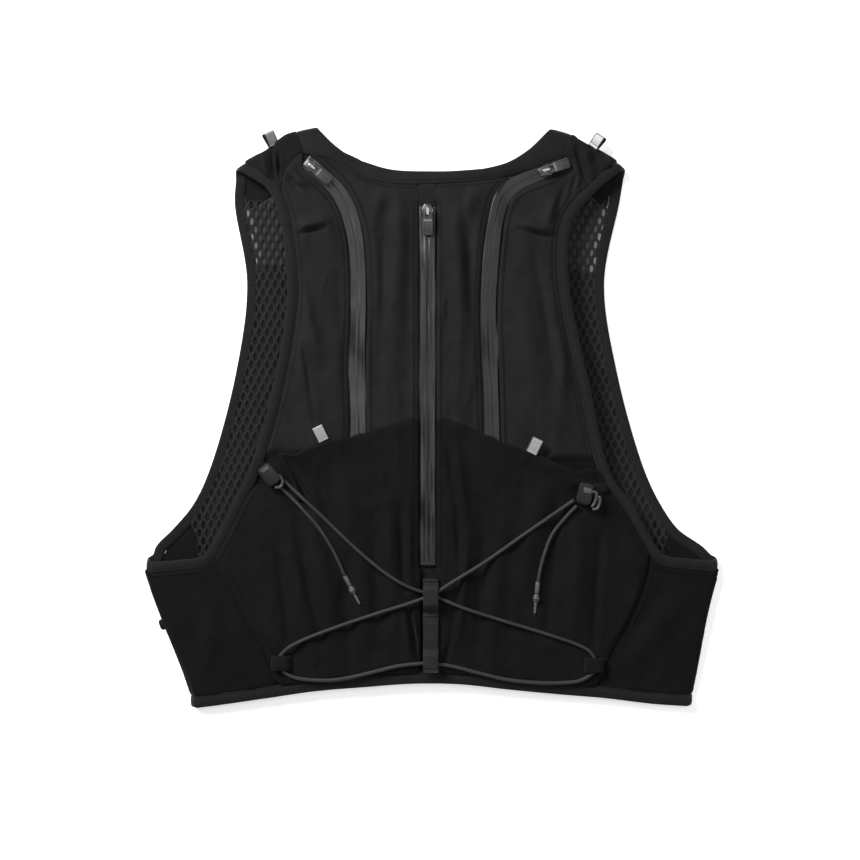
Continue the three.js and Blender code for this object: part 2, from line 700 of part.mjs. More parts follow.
const zipSteps = 24;
const zipHalf = zipWidth / 2;
const zipDip = 0.35;
const zipX = centreZip.u * halfWidth;

// Middle lines from the hem up, with the share of the width that shows as each point's third number
const middleLines = {};
for (const side of ['left', 'right']) {
  const rows = zipLine[side].map((row) => at(row.u, row.v).setZ(row.wide));
  const foot = onHem(rows[0].x).setZ(1);
  foot.y += 2 * clearance;
  middleLines[side] = smoothPoints([foot, ...rows], zipSteps);
}
const centreRows = (low, high, count) => steps(count).map((s) => new THREE.Vector3(
  zipX, THREE.MathUtils.lerp(low, high, s), 1,
));

// A line beside a zip's middle line, as far off as the tape's half width and a gap
const besideZip = (line, side, gap) => line.map((point, k) => (
  offset(line, side * (point.z * zipHalf + gap))[k]
));

function zipTape(line) {
  const left = besideZip(line, -1, 0);
  const right = besideZip(line, 1, 0);
  const rows = line.map((point, k) => [onBack(left[k]), onBack(point, -zipDip), onBack(right[k])]);
  return clothSheet(rows, zipWall);
}

const centreLow = at(0, centreZip.low).y;
const centreHigh = at(0, centreZip.high).y;
const centreTape = centreRows(centreLow, centreHigh, 14);
addPiece('zip_tape_centre', zipTape(centreTape), laminate);
addPiece('zip_tape_left', zipTape(middleLines.left), laminate);
addPiece('zip_tape_right', zipTape(middleLines.right), laminate);

// Cloth of the back's middle column, below and above the centre zip

const underNeckEase = 4 * clearance;
function onNeck(x) {
  const point = atX(underNeck, x);
  return point.setY(point.y - underNeckEase);
}

function columnPatch(low, high, count) {
  const rail = (x) => centreRows(low(x), high(x), count).map((point) => point.clone().setX(x));
  const left = rail(zipX - zipHalf);
  const right = rail(zipX + zipHalf);
  return left.map((point, k) => [onBack(point), onBack(right[k])]);
}

const stripLow = (x) => onHem(x).y;
addPiece('back_centre_strip', clothSheet(columnPatch(stripLow, () => centreLow - clearance, 6), clothWall),
  stretchCloth);
const topLow = () => centreHigh + clearance;
const topHigh = (x) => onNeck(x).y;
addPiece('back_centre_top', clothSheet(columnPatch(topLow, topHigh, 2), clothWall), stretchCloth);

// Back panels: between the armhole bands, the side seams and the zips

const slotHalf = zipHalf + clearance;
const columnRail = (aside, marks) => {
  const x = zipX + aside * slotHalf;
  return marks.map((s) => new THREE.Vector3(x, THREE.MathUtils.lerp(onHem(x).y, onNeck(x).y, s), 0));
};

const reliefFade = (s, t) => Math.min(1, 6 * s * (1 - s)) * Math.min(1, 8 * t * (1 - t));

function reliefSheet(grid, wall, kind, height) {
  const rows = grid.map((row, i) => row.map((point, j) => {
    const s = j / (row.length - 1);
    const t = i / (grid.length - 1);
    return onBack(point, height(s, t) + relief(kind, point.x, point.y) * reliefFade(s, t));
  }));
  return clothSheet(rows, wall);
}

// Points of a line across, evenly spread between two places
const across = (lookup, from, to, count) => steps(count).map((s) => (
  lookup(THREE.MathUtils.lerp(from, to, s))
));

const centreColumns = 4;
const outerColumns = yokeColumns;
const outerRails = {};
for (const side of ['left', 'right']) {
  const sign = side === 'left' ? 1 : -1;
  const inner = besideZip(middleLines[side], sign, clearance);
  const outer = besideZip(middleLines[side], -sign, clearance);
  const crossing = inner.findIndex((point) => point.y > onNeck(point.x).y - bandWidth / 4);
  const centreRail = inner.slice(0, crossing < 0 ? inner.length : crossing);
  const last = centreRail[centreRail.length - 1];
  centreRail.push(onNeck(last.x - sign * bandWidth / 4));
  centreRail[0] = onHem(centreRail[0].x);
  const column = columnRail(-sign, shares(centreRail));
  const rails = side === 'left' ? [centreRail, column] : [column, centreRail];
  const low = across(onHem, rails[0][0].x, rails[1][0].x, centreColumns);
  const high = across(onNeck, rails[0].at(-1).x, rails[1].at(-1).x, centreColumns);
  const flat = () => 0;
  addPiece(`back_centre_${side}`, reliefSheet(patch(rails[0], rails[1], low, high, centreColumns), clothWall,
    'back', flat), stretchCloth);

  const hole = armholes[side].panel;
  const top = hole.at(-1).clone().lerp(hole.at(-2), 2 * clearance / hole.at(-1).distanceTo(hole.at(-2)));
  const bodySeam = offset(sideLines[side].back, sign * clearance);
  const bodyRail = [...bodySeam, ...hole.slice(1, -1), top];
  const yokeCorner = neckPart[side][0].clone();
  yokeCorner.y -= 2 * clearance;
  outer[0] = onHem(outer[0].x);
  const heading = outer.at(-1).clone().sub(outer.at(-2)).normalize();
  const pastTape = outer.at(-1).clone().addScaledVector(heading, foldClearance);
  const marks = shares(bodyRail.slice(0, -1));
  const zipRail = [...resampled([...outer, pastTape], marks), yokeCorner];
  outerRails[side] = bodyRail;
  const outerLow = across(onHem, bodyRail[0].x, zipRail[0].x, outerColumns);
  const grid = patch(bodyRail, zipRail, outerLow, yokeEdges[side], outerColumns);
  const ordered = side === 'left' ? grid : grid.map((row) => row.slice().reverse());
  addPiece(`back_outer_${side}`, reliefSheet(ordered, clothWall, 'back', flat), stretchCloth);
}

// Back pockets: stretch cloth over the lower back, open along the top and gaping a little

const pocketLift = 2 * clearance + pocketWall;
const pocketColumns = 8;
for (const side of ['left', 'right']) {
  const sign = side === 'left' ? 1 : -1;
  const mouth = smooth(pocketMouth[side], pocketColumns);
  const outer = [...outerRails[side].filter((point) => point.y < mouth[0].y - bandWidth / 2), mouth[0]];
  const x = zipX - sign * slotHalf;
  const middle = resampled([onHem(x), mouth.at(-1).clone().setX(x)], shares(outer));
  const low = across(onHem, outer[0].x, x, pocketColumns);
  const grid = patch(outer, middle, low, mouth, pocketColumns);
  const tall = mouth.at(-1).y - low.at(-1).y;
  const gape = (s, t) => {
    const fromOuter = side === 'left' ? s : 1 - s;
    const near = Math.max(0, 1 - (1 - t) * tall / gapeReach);
    return pocketLift + pocketGape * near * near * Math.sin(Math.PI * fromOuter ** 0.7) ** 2;
  };
  const ordered = side === 'left' ? grid : grid.map((row) => row.slice().reverse());
  addPiece(`back_pocket_${side}`, reliefSheet(ordered, pocketWall, 'pocket', gape), pocketCloth);
}

// Front edge bands, chest strap, and the flat layers of the front that lie on the floor

const frontEdgeRows = table(['u', 'v', 'beside'], [
  [-0.362, 0.906, 0], [-0.335, 0.800, 0], [-0.270, 0.660, 0], [-0.180, 0.520, 0], [0, 0.420, 1],
  [0, 0.340, 1], [0, 0.200, 1],
]);
const netLow = clothWall + clearance;

const flatLayer = (outline, wall, base) => plate(outline.map((point) => [point.x, point.y]), wall)
  .translate(0, 0, base);

// Whether a point lies inside an outline, and clear of its edge by a margin
function wellInside(x, y, outline, margin) {
  let inside = false;
  for (let k = 0; k < outline.length; k += 1) {
    const a = outline[k];
    const b = outline[(k + 1) % outline.length];
    const run = b.clone().sub(a).setZ(0);
    const from = new THREE.Vector3(x - a.x, y - a.y, 0);
    const share = THREE.MathUtils.clamp(from.dot(run) / run.lengthSq(), 0, 1);
    if (from.addScaledVector(run, -share).length() < margin) {
      return false;
    }
    if ((a.y > y) !== (b.y > y) && x < a.x + (y - a.y) * (b.x - a.x) / (b.y - a.y)) {
      inside = !inside;
    }
  }
  return inside;
}

function netHoles(outline, top) {
  const holes = [];
  const rows = Math.floor(netReach / netPitchAlong);
  const columns = Math.ceil(halfWidth / netPitchAcross);
  const margin = (netHoleTall + netPitchAlong) / 4;
  const sign = Math.sign(outline[0].x);
  for (let row = 0; row < rows; row += 1) {
    const y = top - (row + 0.5) * netPitchAlong;
    for (let column = 0; column < columns; column += 1) {
      const x = sign * (column + (row % 2) / 2) * netPitchAcross;
      if (wellInside(x, y, outline, margin)) {
        const corners = [[-netHoleWide, 0], [0, -netHoleTall], [netHoleWide, 0], [0, netHoleTall]];
        holes.push(plate(corners.map(([wide, tall]) => [x + wide / 2, y + tall / 2]), 3 * meshWall));
      }
    }
  }
  return holes;
}

for (const side of ['left', 'right']) {
  const sign = side === 'left' ? -1 : 1;
  const line = frontEdgeRows.map((row) => at(Math.abs(row.u), row.v).setX(
    sign * (row.beside ? frontGap / 2 : Math.abs(row.u) * halfWidth),
  ));
  const end = onFrontHem(side, sign * frontGap / 2);
  const path = asPath(smoothPoints([...line, end], 14), downwards);
  const fabric = sign < 0 ? [-bandWidth, 0] : [0, bandWidth];
  addPiece(`front_edge_band_${side}`, bandSolid(path, fabric, bandWall), elasticBand);
  const beside = bandGrid(path, [sign * (bandWidth + clearance)]).map((row) => row[0]);

  const hole = armholes[side];
  const foot = onFrontHem(side, beside.at(-1).x);
  const seamLine = offset(sideLines[side].front, sign < 0 ? clearance : -clearance);
  const neckEnd = [neckRails.edge, neckRails.seam].map((rail) => rail.at(side === 'left' ? 0 : -1));
  const yokeEnd = hole.front[0].clone();
  yokeEnd.y -= 2 * clearance;
  const belowNeck = neckEnd.map((point) => point.clone().setY(point.y - 2 * clearance));
  const besideBand = beside.filter((point) => point.y < belowNeck[0].y - bandWidth / 2);
  const bottom = across((x) => onFrontHem(side, x), seamLine[0].x, foot.x, 4);
  const outline = [
    yokeEnd, ...hole.front.slice(1, -1), ...seamLine.slice().reverse(), ...bottom.slice(1),
    ...besideBand.slice(0, -1).reverse(), belowNeck[1],
  ];
  const net = toSolid(flatLayer(outline, meshWall, netLow));
  const prisms = mergeGeometries(netHoles(outline, belowNeck[1].y));
  const holes = toSolid(prisms.translate(0, 0, netLow - meshWall));
  addPiece(`front_net_${side}`, fromSolid(net.subtract(holes)), netCloth);

  const pocketTop = belowNeck[1].y - netReach;
  const layer = outline.filter((point) => point.y < pocketTop);
  addPiece(`front_pocket_${side}`, flatLayer(layer, clothWall, 0), pocketCloth);
}

// Chest strap, which joins the two front halves in the photo's hidden front

const strapY = at(0, 0.30).y;
const strapHalf = frontGap / 2 - 2 * clearance;
addPiece('chest_strap', plate([
  [-strapHalf, strapY - strapWidth / 2], [strapHalf, strapY - strapWidth / 2],
  [strapHalf, strapY + strapWidth / 2], [-strapHalf, strapY + strapWidth / 2],
], strapWall), elasticBand);

// Resting small pieces on what lies below them

const ray = new THREE.Raycaster();
function restHeight(names, x, y) {
  const supports = names.map((name) => pieces[name]);
  ray.set(new THREE.Vector3(x, y, 4 * middleRise), new THREE.Vector3(0, 0, -1));
  const hits = ray.intersectObjects(supports, false);
  return hits.length > 0 ? hits[0].point.z : 0;
}

const bothSides = (name) => [`${name}_left`, `${name}_right`];
const backSurface = [
  'back_centre_strip', 'back_centre_top', 'zip_tape_centre', 'hem_band', 'neck_band',
  ...['back_centre', 'back_outer', 'back_pocket', 'side_panel', 'armhole_band', 'shoulder_yoke', 'zip_tape']
    .flatMap(bothSides),
].filter((name, k, all) => all.indexOf(name) === k);

// Greatest height under a rectangle that is turned about its centre
function footprintHeight(names, x, y, wide, tall, turn) {
  const heights = [-0.5, 0, 0.5].flatMap((a) => [-0.5, 0, 0.5].map((b) => {
    const place = new THREE.Vector2(a * wide, b * tall).rotateAround(new THREE.Vector2(0, 0), turn);
    return restHeight(names, x + place.x, y + place.y);
  }));
  return Math.max(...heights);
}

const radians = THREE.MathUtils.degToRad;

// Zip sliders: a body with a bail on top, and a rubber pull round the bail

const bailRise = bailWall + pullWall + 2 * clearance;
const pullHole = Math.hypot(bailWidth, bailWall) + 3 * clearance;
const bailReach = sliderLength * 0.3;

function bailGeometry() {
  const root = -sliderHeight / 4;
  const outline = [[-bailReach, root], [bailReach, root], [bailReach, bailRise], [-bailReach, bailRise]];
  const inside = outline.map(([x, y]) => [x - Math.sign(x) * bailWall, y > 0 ? y - bailWall : 2 * root]);
  const hole = plate(inside, 3 * bailWidth).translate(0, 0, -bailWidth);
  const ring = toSolid(plate(outline, bailWidth)).subtract(toSolid(hole));
  return fromSolid(ring).translate(0, 0, -bailWidth / 2).rotateX(Math.PI / 2).rotateZ(Math.PI / 2);
}

function sliderGeometry() {
  const half = sliderWidth / 2;
  const nose = sliderLength / 2;
  const body = plate([
    [-half, nose * 0.4], [-half * 0.55, -nose], [half * 0.55, -nose], [half, nose * 0.4], [half * 0.5, nose],
    [-half * 0.5, nose],
  ], sliderHeight);
  return fromSolid(toSolid(body).add(toSolid(bailGeometry().translate(0, 0, sliderHeight))));
}

// The pull goes round one leg of the bail, which passes through its hole
function pullGeometry() {
  const half = pullWidth / 2;
  const top = pullHole;
  const foot = top - pullLength;
  const outline = plate([
    [-half * 0.7, top], [-half, top - half * 0.6], [-half, foot + half * 0.8], [-half * 0.5, foot],
    [half * 0.5, foot], [half, foot + half * 0.8], [half, top - half * 0.6], [half * 0.7, top],
  ], pullWall);
  const hole = plate(Array.from({ length: 8 }, (_, k) => [
    Math.cos(Math.PI * (k + 0.5) / 4) * pullHole / 2, Math.sin(Math.PI * (k + 0.5) / 4) * pullHole / 2,
  ]), 3 * pullWall).translate(0, 0, -pullWall);
  return fromSolid(toSolid(outline).subtract(toSolid(hole)));
}

// The leg of the bail that each pull is on, and so lies away from: -1 the lower one, 1 the upper one
const sliderPlaces = table(['name', 'share', 'leg'], [
  ['centre', 0.985, -1],
  ['left', 0.988, -1],
  ['right', 0.990, 1],
]);
for (const place of sliderPlaces) {
  const line = place.name === 'centre' ? centreTape : middleLines[place.name];
  const spot = pointAlong(line, place.share);
  const before = pointAlong(line, place.share - 0.02);
  const heading = Math.atan2(spot.y - before.y, spot.x - before.x) - Math.PI / 2;
  const low = footprintHeight(backSurface, spot.x, spot.y, sliderWidth, sliderLength, heading) + clearance;
  const slider = addPiece(`zip_slider_${place.name}`, sliderGeometry(), blackMetal);
  slider.position.set(spot.x, spot.y, low);
  slider.rotation.z = heading;
  const pull = addPiece(`zip_pull_${place.name}`, pullGeometry(), rubber);
  pull.rotation.z = place.leg < 0 ? heading : heading + Math.PI;
  const leg = place.leg * (bailReach - bailWall / 2);
  const hinge = new THREE.Vector3(0, leg, 0).applyAxisAngle(upwards, heading);
  pull.position.set(spot.x + hinge.x, spot.y + hinge.y, low + sliderHeight + clearance);
}

// Reflective loops: tape folded back on itself, its fold at the free end

function loopGeometry(length) {
  const high = 2 * tapeWall + 2 * clearance;
  const profile = [
    [0, 0], [length, 0], [length + high / 2, high / 2], [length, high], [0, high], [0, high - tapeWall],
    [length - tapeWall, high - tapeWall], [length - tapeWall, tapeWall], [0, tapeWall],
  ];
  return plate(profile, loopTapeWidth).translate(0, 0, -loopTapeWidth / 2).rotateX(Math.PI / 2)
    .rotateZ(Math.PI / 2);
}

for (const place of loopPlaces) {
  const spot = at(place.u, place.v);
  const turn = radians(place.turn);
  const middle = new THREE.Vector3(0, loopTapeLength / 2, 0).applyAxisAngle(upwards, turn).add(spot);
  const low = footprintHeight(backSurface, middle.x, middle.y, loopTapeWidth, loopTapeLength + 2, turn);
  const loop = addPiece(place.name, loopGeometry(loopTapeLength), reflective);
  loop.position.set(spot.x, spot.y, low + clearance);
  loop.rotation.z = turn;
}
for (const place of shoulderLoopPlaces) {
  const spot = pointAlong(yokeFolds[place.side], place.share);
  const turn = radians(place.turn);
  const along = new THREE.Vector3(0, 1, 0).applyAxisAngle(upwards, turn);
  const across = new THREE.Vector3(1, 0, 0).applyAxisAngle(upwards, turn);
  const near = yokeFolds[place.side].map((point) => point.clone().sub(spot))
    .filter((point) => Math.abs(point.dot(across)) < loopTapeWidth);
  const reach = Math.max(0, ...near.map((point) => point.dot(along)));
  const loop = addPiece(place.name, loopGeometry(shoulderLoopLength), reflective);
  loop.position.copy(spot).addScaledVector(along, reach + 2 * clearance);
  loop.rotation.z = turn;
}

// Lacing and cord tails, laid on the surface below them

const cordRadius = cordDiameter / 2;
const cordSection = new THREE.Shape(Array.from({ length: 8 }, (_, k) => {
  const angle = Math.PI * (k + 0.5) / 4;
  return new THREE.Vector2(Math.cos(angle), Math.sin(angle)).multiplyScalar(cordRadius);
}));

// Points of a cord at equal steps, each as high as the highest surface a few steps to either side
const cordStep = 3;
const cordReach = 4;
function laidCord(route) {
  const places = route.map((row) => new THREE.Vector3(row.x, row.y, row.over ?? 0));
  const flat = new THREE.CatmullRomCurve3(places);
  const points = flat.getSpacedPoints(Math.round(flat.getLength() / cordStep));
  const aside = [-cordRadius, 0, cordRadius];
  const heights = points.map((point) => Math.max(...aside.flatMap((dx) => aside.map(
    (dy) => restHeight(backSurface, point.x + dx, point.y + dy),
  ))));
  return points.map((point, k) => {
    const highest = Math.max(...heights.slice(Math.max(0, k - cordReach), k + cordReach + 1));
    return new THREE.Vector3(point.x, point.y, highest + cordRadius + clearance + point.z * cordDiameter);
  });
}

function cordSolid(points, count) {
  const kept = points.filter((_, k) => k % 2 === 0 || k === points.length - 1);
  const extrudePath = new THREE.CatmullRomCurve3(kept);
  return new THREE.ExtrudeGeometry(cordSection, { steps: count, bevelEnabled: false, extrudePath });
}

const lacing = laidCord(lacingRoute);
addPiece('cord_lacing', cordSolid(lacing, 64), bungee);

// Each tail ends in a short tube, a knot and a bare end, made as one piece
function cordEnd(from, to) {
  const along = to.clone().sub(from);
  const length = along.length();
  const tube = endTubeLength;
  const knot = tube + knotDiameter;
  const profile = table(['away', 'across'], [
    [0, 0], [0, endTubeDiameter], [tube, endTubeDiameter], [tube + knotDiameter * 0.3, knotDiameter],
    [knot - knotDiameter * 0.3, knotDiameter], [knot, cordDiameter], [length, cordDiameter], [length, 0],
  ]).map((row) => new THREE.Vector2(row.across / 2, row.away));
  const geometry = new THREE.LatheGeometry(profile, 8);
  const turn = new THREE.Quaternion().setFromUnitVectors(new THREE.Vector3(0, 1, 0), along.normalize());
  return geometry.applyQuaternion(turn).translate(from.x, from.y, from.z);
}

for (const side of ['left', 'right']) {
  const points = laidCord(tailRoute[side]);
  addPiece(`cord_tail_${side}`, cordSolid(points, 8), bungee);
  const last = points.at(-1).clone();
  const tip = new THREE.Vector3(tailTip[side].x, tailTip[side].y, 0);
  const away = tip.clone().sub(last).setZ(0).normalize();
  const start = last.clone().addScaledVector(away, clearance);
  const marks = steps(4).map((s) => start.clone().lerp(tip, s));
  const high = Math.max(...marks.map((mark) => restHeight(backSurface, mark.x, mark.y)));
  start.setZ(high + knotDiameter / 2 + clearance);
  tip.setZ(start.z);
  addPiece(`cord_end_${side}`, cordEnd(start, tip), bungee);
}

// Highest point of the lacing over a stretch of the vest
function lacingTop(x, y, wide, tall) {
  const near = lacing.filter((p) => Math.abs(p.x - x) < wide / 2 && Math.abs(p.y - y) < tall / 2);
  return Math.max(0, ...near.map((point) => point.z)) + cordRadius;
}

// Ladder webbing: a strip sewn down at four bars, with the lacing under its top and bottom rungs

const ladderX = -1;
const ladderRows = table(['v', 'rung', 'lift'], [
  [0.225, 0, 0], [0.217, 0, 0], [0.209, 1, 1], [0.180, 1, 1], [0.170, 1, 0.2], [0.162, 0, 0],
  [0.148, 2, 1], [0.120, 2, 1], [0.104, 0, 0], [0.094, 3, 1], [0.070, 3, 1], [0.066, 0, 0],
]);
const ladderHalf = webbingWidth / 2;
const rungLift = ladderRows.map((row) => {
  const y = at(0, row.v).y;
  const rest = footprintHeight(backSurface, ladderX, y, webbingWidth, 2, 0);
  const over = lacingTop(ladderX, y, webbingWidth + 4, 16) - rest;
  const high = row.rung === 2 ? webbingWall : Math.max(0, over + clearance);
  return { y, z: rest + clearance + webbingWall + row.lift * high };
});
addPiece('ladder_webbing', clothSheet(rungLift.slice().reverse().map(({ y, z }) => [
  new THREE.Vector3(ladderX - ladderHalf, y, z), new THREE.Vector3(ladderX + ladderHalf, y, z),
]), webbingWall), elasticBand);

// Cord keepers: bridges of webbing over the lacing at the lower corners of the pockets

function bridge(wide, high, wall, length) {
  const half = wide / 2;
  const slope = wall * 0.8;
  const profile = [
    [-half, 0], [-half + wall, 0], [-half + wall + slope, high - wall], [half - wall - slope, high - wall],
    [half - wall, 0], [half, 0], [half - slope, high], [-half + slope, high],
  ];
  return plate(profile, length).translate(0, 0, -length / 2).rotateX(Math.PI / 2);
}

for (const place of keeperPlaces) {
  const rest = footprintHeight(backSurface, place.x, place.y, keeperWidth, keeperLength, 0) + clearance;
  const high = lacingTop(place.x, place.y, keeperWidth, keeperLength + 6) - rest + clearance + anchorWall;
  const keeper = addPiece(place.name, bridge(keeperWidth, high, anchorWall, keeperLength), elasticBand);
  keeper.position.set(place.x, place.y, rest);
}

// Cord locks: a one-piece grip with a hook, each on a tab of webbing that is sewn to the armhole band

function lockGeometry(hand) {
  const half = lockWidth / 2;
  const tall = lockLength / 2;
  const cut = lockWidth / 5;
  const body = plate([
    [-half, -tall + cut], [-half + cut, -tall], [half - cut, -tall], [half, -tall + cut],
    [half, tall - cut], [half - cut, tall], [-half + cut, tall], [-half, tall - cut],
  ], lockHeight);
  const inner = half - cut / 2;
  const outer = half + hookWidth * 2.4;
  const hook = plate([
    [inner, tall * 0.3], [inner, tall * 0.3 - hookWidth], [half + hookWidth * 0.4, tall * 0.3 - hookWidth],
    [half + hookWidth * 0.4, -tall * 0.9], [outer - hookWidth * 0.8, -tall * 0.9],
    [outer, -tall * 0.5], [outer, tall * 0.1], [outer - hookWidth * 0.7, tall * 0.1],
    [outer - hookWidth * 0.7, -tall * 0.5], [half + hookWidth, -tall * 0.6],
    [half + hookWidth, tall * 0.3],
  ].map(([x, y]) => [x * hand, y]), hookWidth).translate(0, 0, (lockHeight - hookWidth) / 2);
  return fromSolid(toSolid(body).add(toSolid(hook)));
}

const anchorHalf = lockWidth * 0.3;
for (const place of lockPlaces) {
  const turn = radians(place.turn);
  const away = (point) => Math.hypot(point.x - place.x, point.y - place.y);
  const band = armholes[place.side].panel.reduce((best, point) => (away(point) < away(best) ? point : best));
  const tab = new THREE.Vector3((band.x + place.x) / 2, (band.y + place.y) / 2, 0);
  const tabTurn = Math.atan2(place.y - band.y, place.x - band.x);
  const tabRest = footprintHeight(backSurface, tab.x, tab.y, lockLength, 2 * anchorHalf, tabTurn);
  const tabLow = tabRest + clearance;
  const anchor = addPiece(`lock_anchor_${place.side}`, plate([
    [-lockLength / 2, -anchorHalf], [lockLength / 2, -anchorHalf],
    [lockLength / 2, anchorHalf], [-lockLength / 2, anchorHalf],
  ], anchorWall), elasticBand);
  anchor.position.set(tab.x, tab.y, tabLow);
  anchor.rotation.z = tabTurn;
  const lock = addPiece(`cord_lock_${place.side}`, lockGeometry(1), hardPlastic);
  const rest = footprintHeight(backSurface, place.x, place.y, lockWidth, lockLength, turn);
  lock.position.set(place.x, place.y, Math.max(rest, tabLow + anchorWall) + clearance);
  lock.rotation.z = turn;
}

// Side tab, which stands out of the left side seam

const [tabLow, tabHigh] = sideLines.left.fold.slice(3, 5);
const sideTab = addPiece('side_tab', plate([
  [-sideTabReach, -sideTabLength / 2], [0, -sideTabLength / 2],
  [0, sideTabLength / 2], [-sideTabReach, sideTabLength / 2],
], webbingWall), elasticBand);
sideTab.position.copy(tabLow).lerp(tabHigh, 0.4);
sideTab.position.x -= 2 * clearance;
sideTab.rotation.z = Math.atan2(tabHigh.y - tabLow.y, tabHigh.x - tabLow.x) - Math.PI / 2;

// The vest's own box is centred on the frame
const middle = new THREE.Box3().setFromObject(vest, true).getCenter(new THREE.Vector3()).setZ(0);
vest.children.forEach((piece) => piece.position.sub(middle));

export default vest;
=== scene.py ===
import math

import bmesh
import bpy
import numpy as np
from mathutils import Matrix, Vector, noise


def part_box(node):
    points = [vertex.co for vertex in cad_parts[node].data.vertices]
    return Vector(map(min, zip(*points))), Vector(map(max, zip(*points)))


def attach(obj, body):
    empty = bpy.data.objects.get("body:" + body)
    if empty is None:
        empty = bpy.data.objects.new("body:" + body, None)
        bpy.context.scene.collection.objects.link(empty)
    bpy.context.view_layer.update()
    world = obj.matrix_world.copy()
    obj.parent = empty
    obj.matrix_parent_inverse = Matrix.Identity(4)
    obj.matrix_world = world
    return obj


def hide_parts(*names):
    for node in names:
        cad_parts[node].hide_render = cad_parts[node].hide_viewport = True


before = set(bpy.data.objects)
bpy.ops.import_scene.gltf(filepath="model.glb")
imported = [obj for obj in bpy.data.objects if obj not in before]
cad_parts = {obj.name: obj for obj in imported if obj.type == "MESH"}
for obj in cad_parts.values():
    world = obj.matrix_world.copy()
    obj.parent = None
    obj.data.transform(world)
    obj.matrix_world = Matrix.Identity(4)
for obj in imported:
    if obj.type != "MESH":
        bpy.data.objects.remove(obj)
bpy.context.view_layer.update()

# Camera. The vest lies flat with its back up and is looked at from straight above, from far
# enough away that its low relief hardly shifts.
mm = 0.001
camera_height = 1.95
seen_width = 645 * mm
camera_data = bpy.data.cameras.new("camera")
camera_data.sensor_width = 36
camera_data.lens = camera_data.sensor_width * camera_height / seen_width
camera_data.clip_end = 20
camera = bpy.data.objects.new("camera", camera_data)
camera.location = (-1.3 * mm, -9.3 * mm, camera_height)
bpy.context.scene.collection.objects.link(camera)
bpy.context.scene.camera = camera


# The way the vest lies. The front rests on the table, the back swells over it to about 20 mm, and
# every line on it is placed by shares of its half width and its length.
half_width = 213.0
vest_length = 436.0
middle_rise = 20.0
side_rise = 8.0
box_shift = np.array([0.2, 0.13])


def place(rows):
    rows = np.asarray(rows, float)
    flat = rows[:, :2] * [half_width, vest_length] - [0, vest_length / 2] + box_shift
    return np.column_stack([flat, rows[:, 2:]])


def smooth_line(rows, count):
    """Evenly spaced points of a centripetal spline through the rows."""
    p = np.asarray(rows, float)
    if len(p) == 2:
        return p[0] + np.linspace(0, 1, count)[:, None] * (p[1] - p[0])
    p = np.vstack([2 * p[0] - p[1], p, 2 * p[-1] - p[-2]])
    out = []
    for a, b, c, d in zip(p, p[1:], p[2:], p[3:]):
        k0 = 0.0
        k1 = k0 + max(1e-6, math.sqrt(np.linalg.norm((b - a)[:2])))
        k2 = k1 + max(1e-6, math.sqrt(np.linalg.norm((c - b)[:2])))
        k3 = k2 + max(1e-6, math.sqrt(np.linalg.norm((d - c)[:2])))
        for k in np.linspace(k1, k2, 24, endpoint=False):
            ab = (k1 - k) / (k1 - k0) * a + (k - k0) / (k1 - k0) * b
            bc = (k2 - k) / (k2 - k1) * b + (k - k1) / (k2 - k1) * c
            cd = (k3 - k) / (k3 - k2) * c + (k - k2) / (k3 - k2) * d
            abc = (k2 - k) / (k2 - k0) * ab + (k - k0) / (k2 - k0) * bc
            bcd = (k3 - k) / (k3 - k1) * bc + (k - k1) / (k3 - k1) * cd
            out.append((k2 - k) / (k2 - k1) * abc + (k - k1) / (k2 - k1) * bcd)
    out.append(p[-2])
    return spaced(np.array(out), count)


def lengths(points):
    return np.concatenate([[0], np.cumsum(np.linalg.norm(np.diff(points[:, :2], axis=0), axis=1))])


def spaced(points, count):
    run = lengths(points)
    at = np.linspace(0, run[-1], count)
    return np.column_stack([np.interp(at, run, points[:, k]) for k in range(points.shape[1])])


def away_from(line, x, y):
    """Distance of each place from a line, how far along the line it is, and on which side."""
    best = np.full(x.shape, 1e9)
    along = np.zeros(x.shape)
    side = np.ones(x.shape)
    run = lengths(line)
    for k in range(len(line) - 1):
        a = line[k, :2]
        d = line[k + 1, :2] - a
        size = d @ d
        if size < 1e-9:
            continue
        t = np.clip(((x - a[0]) * d[0] + (y - a[1]) * d[1]) / size, 0, 1)
        dx = x - a[0] - t * d[0]
        dy = y - a[1] - t * d[1]
        far = np.hypot(dx, dy)
        near = far < best
        best = np.where(near, far, best)
        along = np.where(near, run[k] + t * math.sqrt(size), along)
        side = np.where(near, np.sign(d[0] * dy - d[1] * dx), side)
    return best, along, side


def back_rise(x, y):
    v = (y + vest_length / 2) / vest_length
    across = 1 - np.abs(np.clip(x / half_width, -1, 1)) ** 1.6
    return side_rise + (middle_rise - side_rise) * across * np.sin(np.pi * (0.9 * v + 0.05))


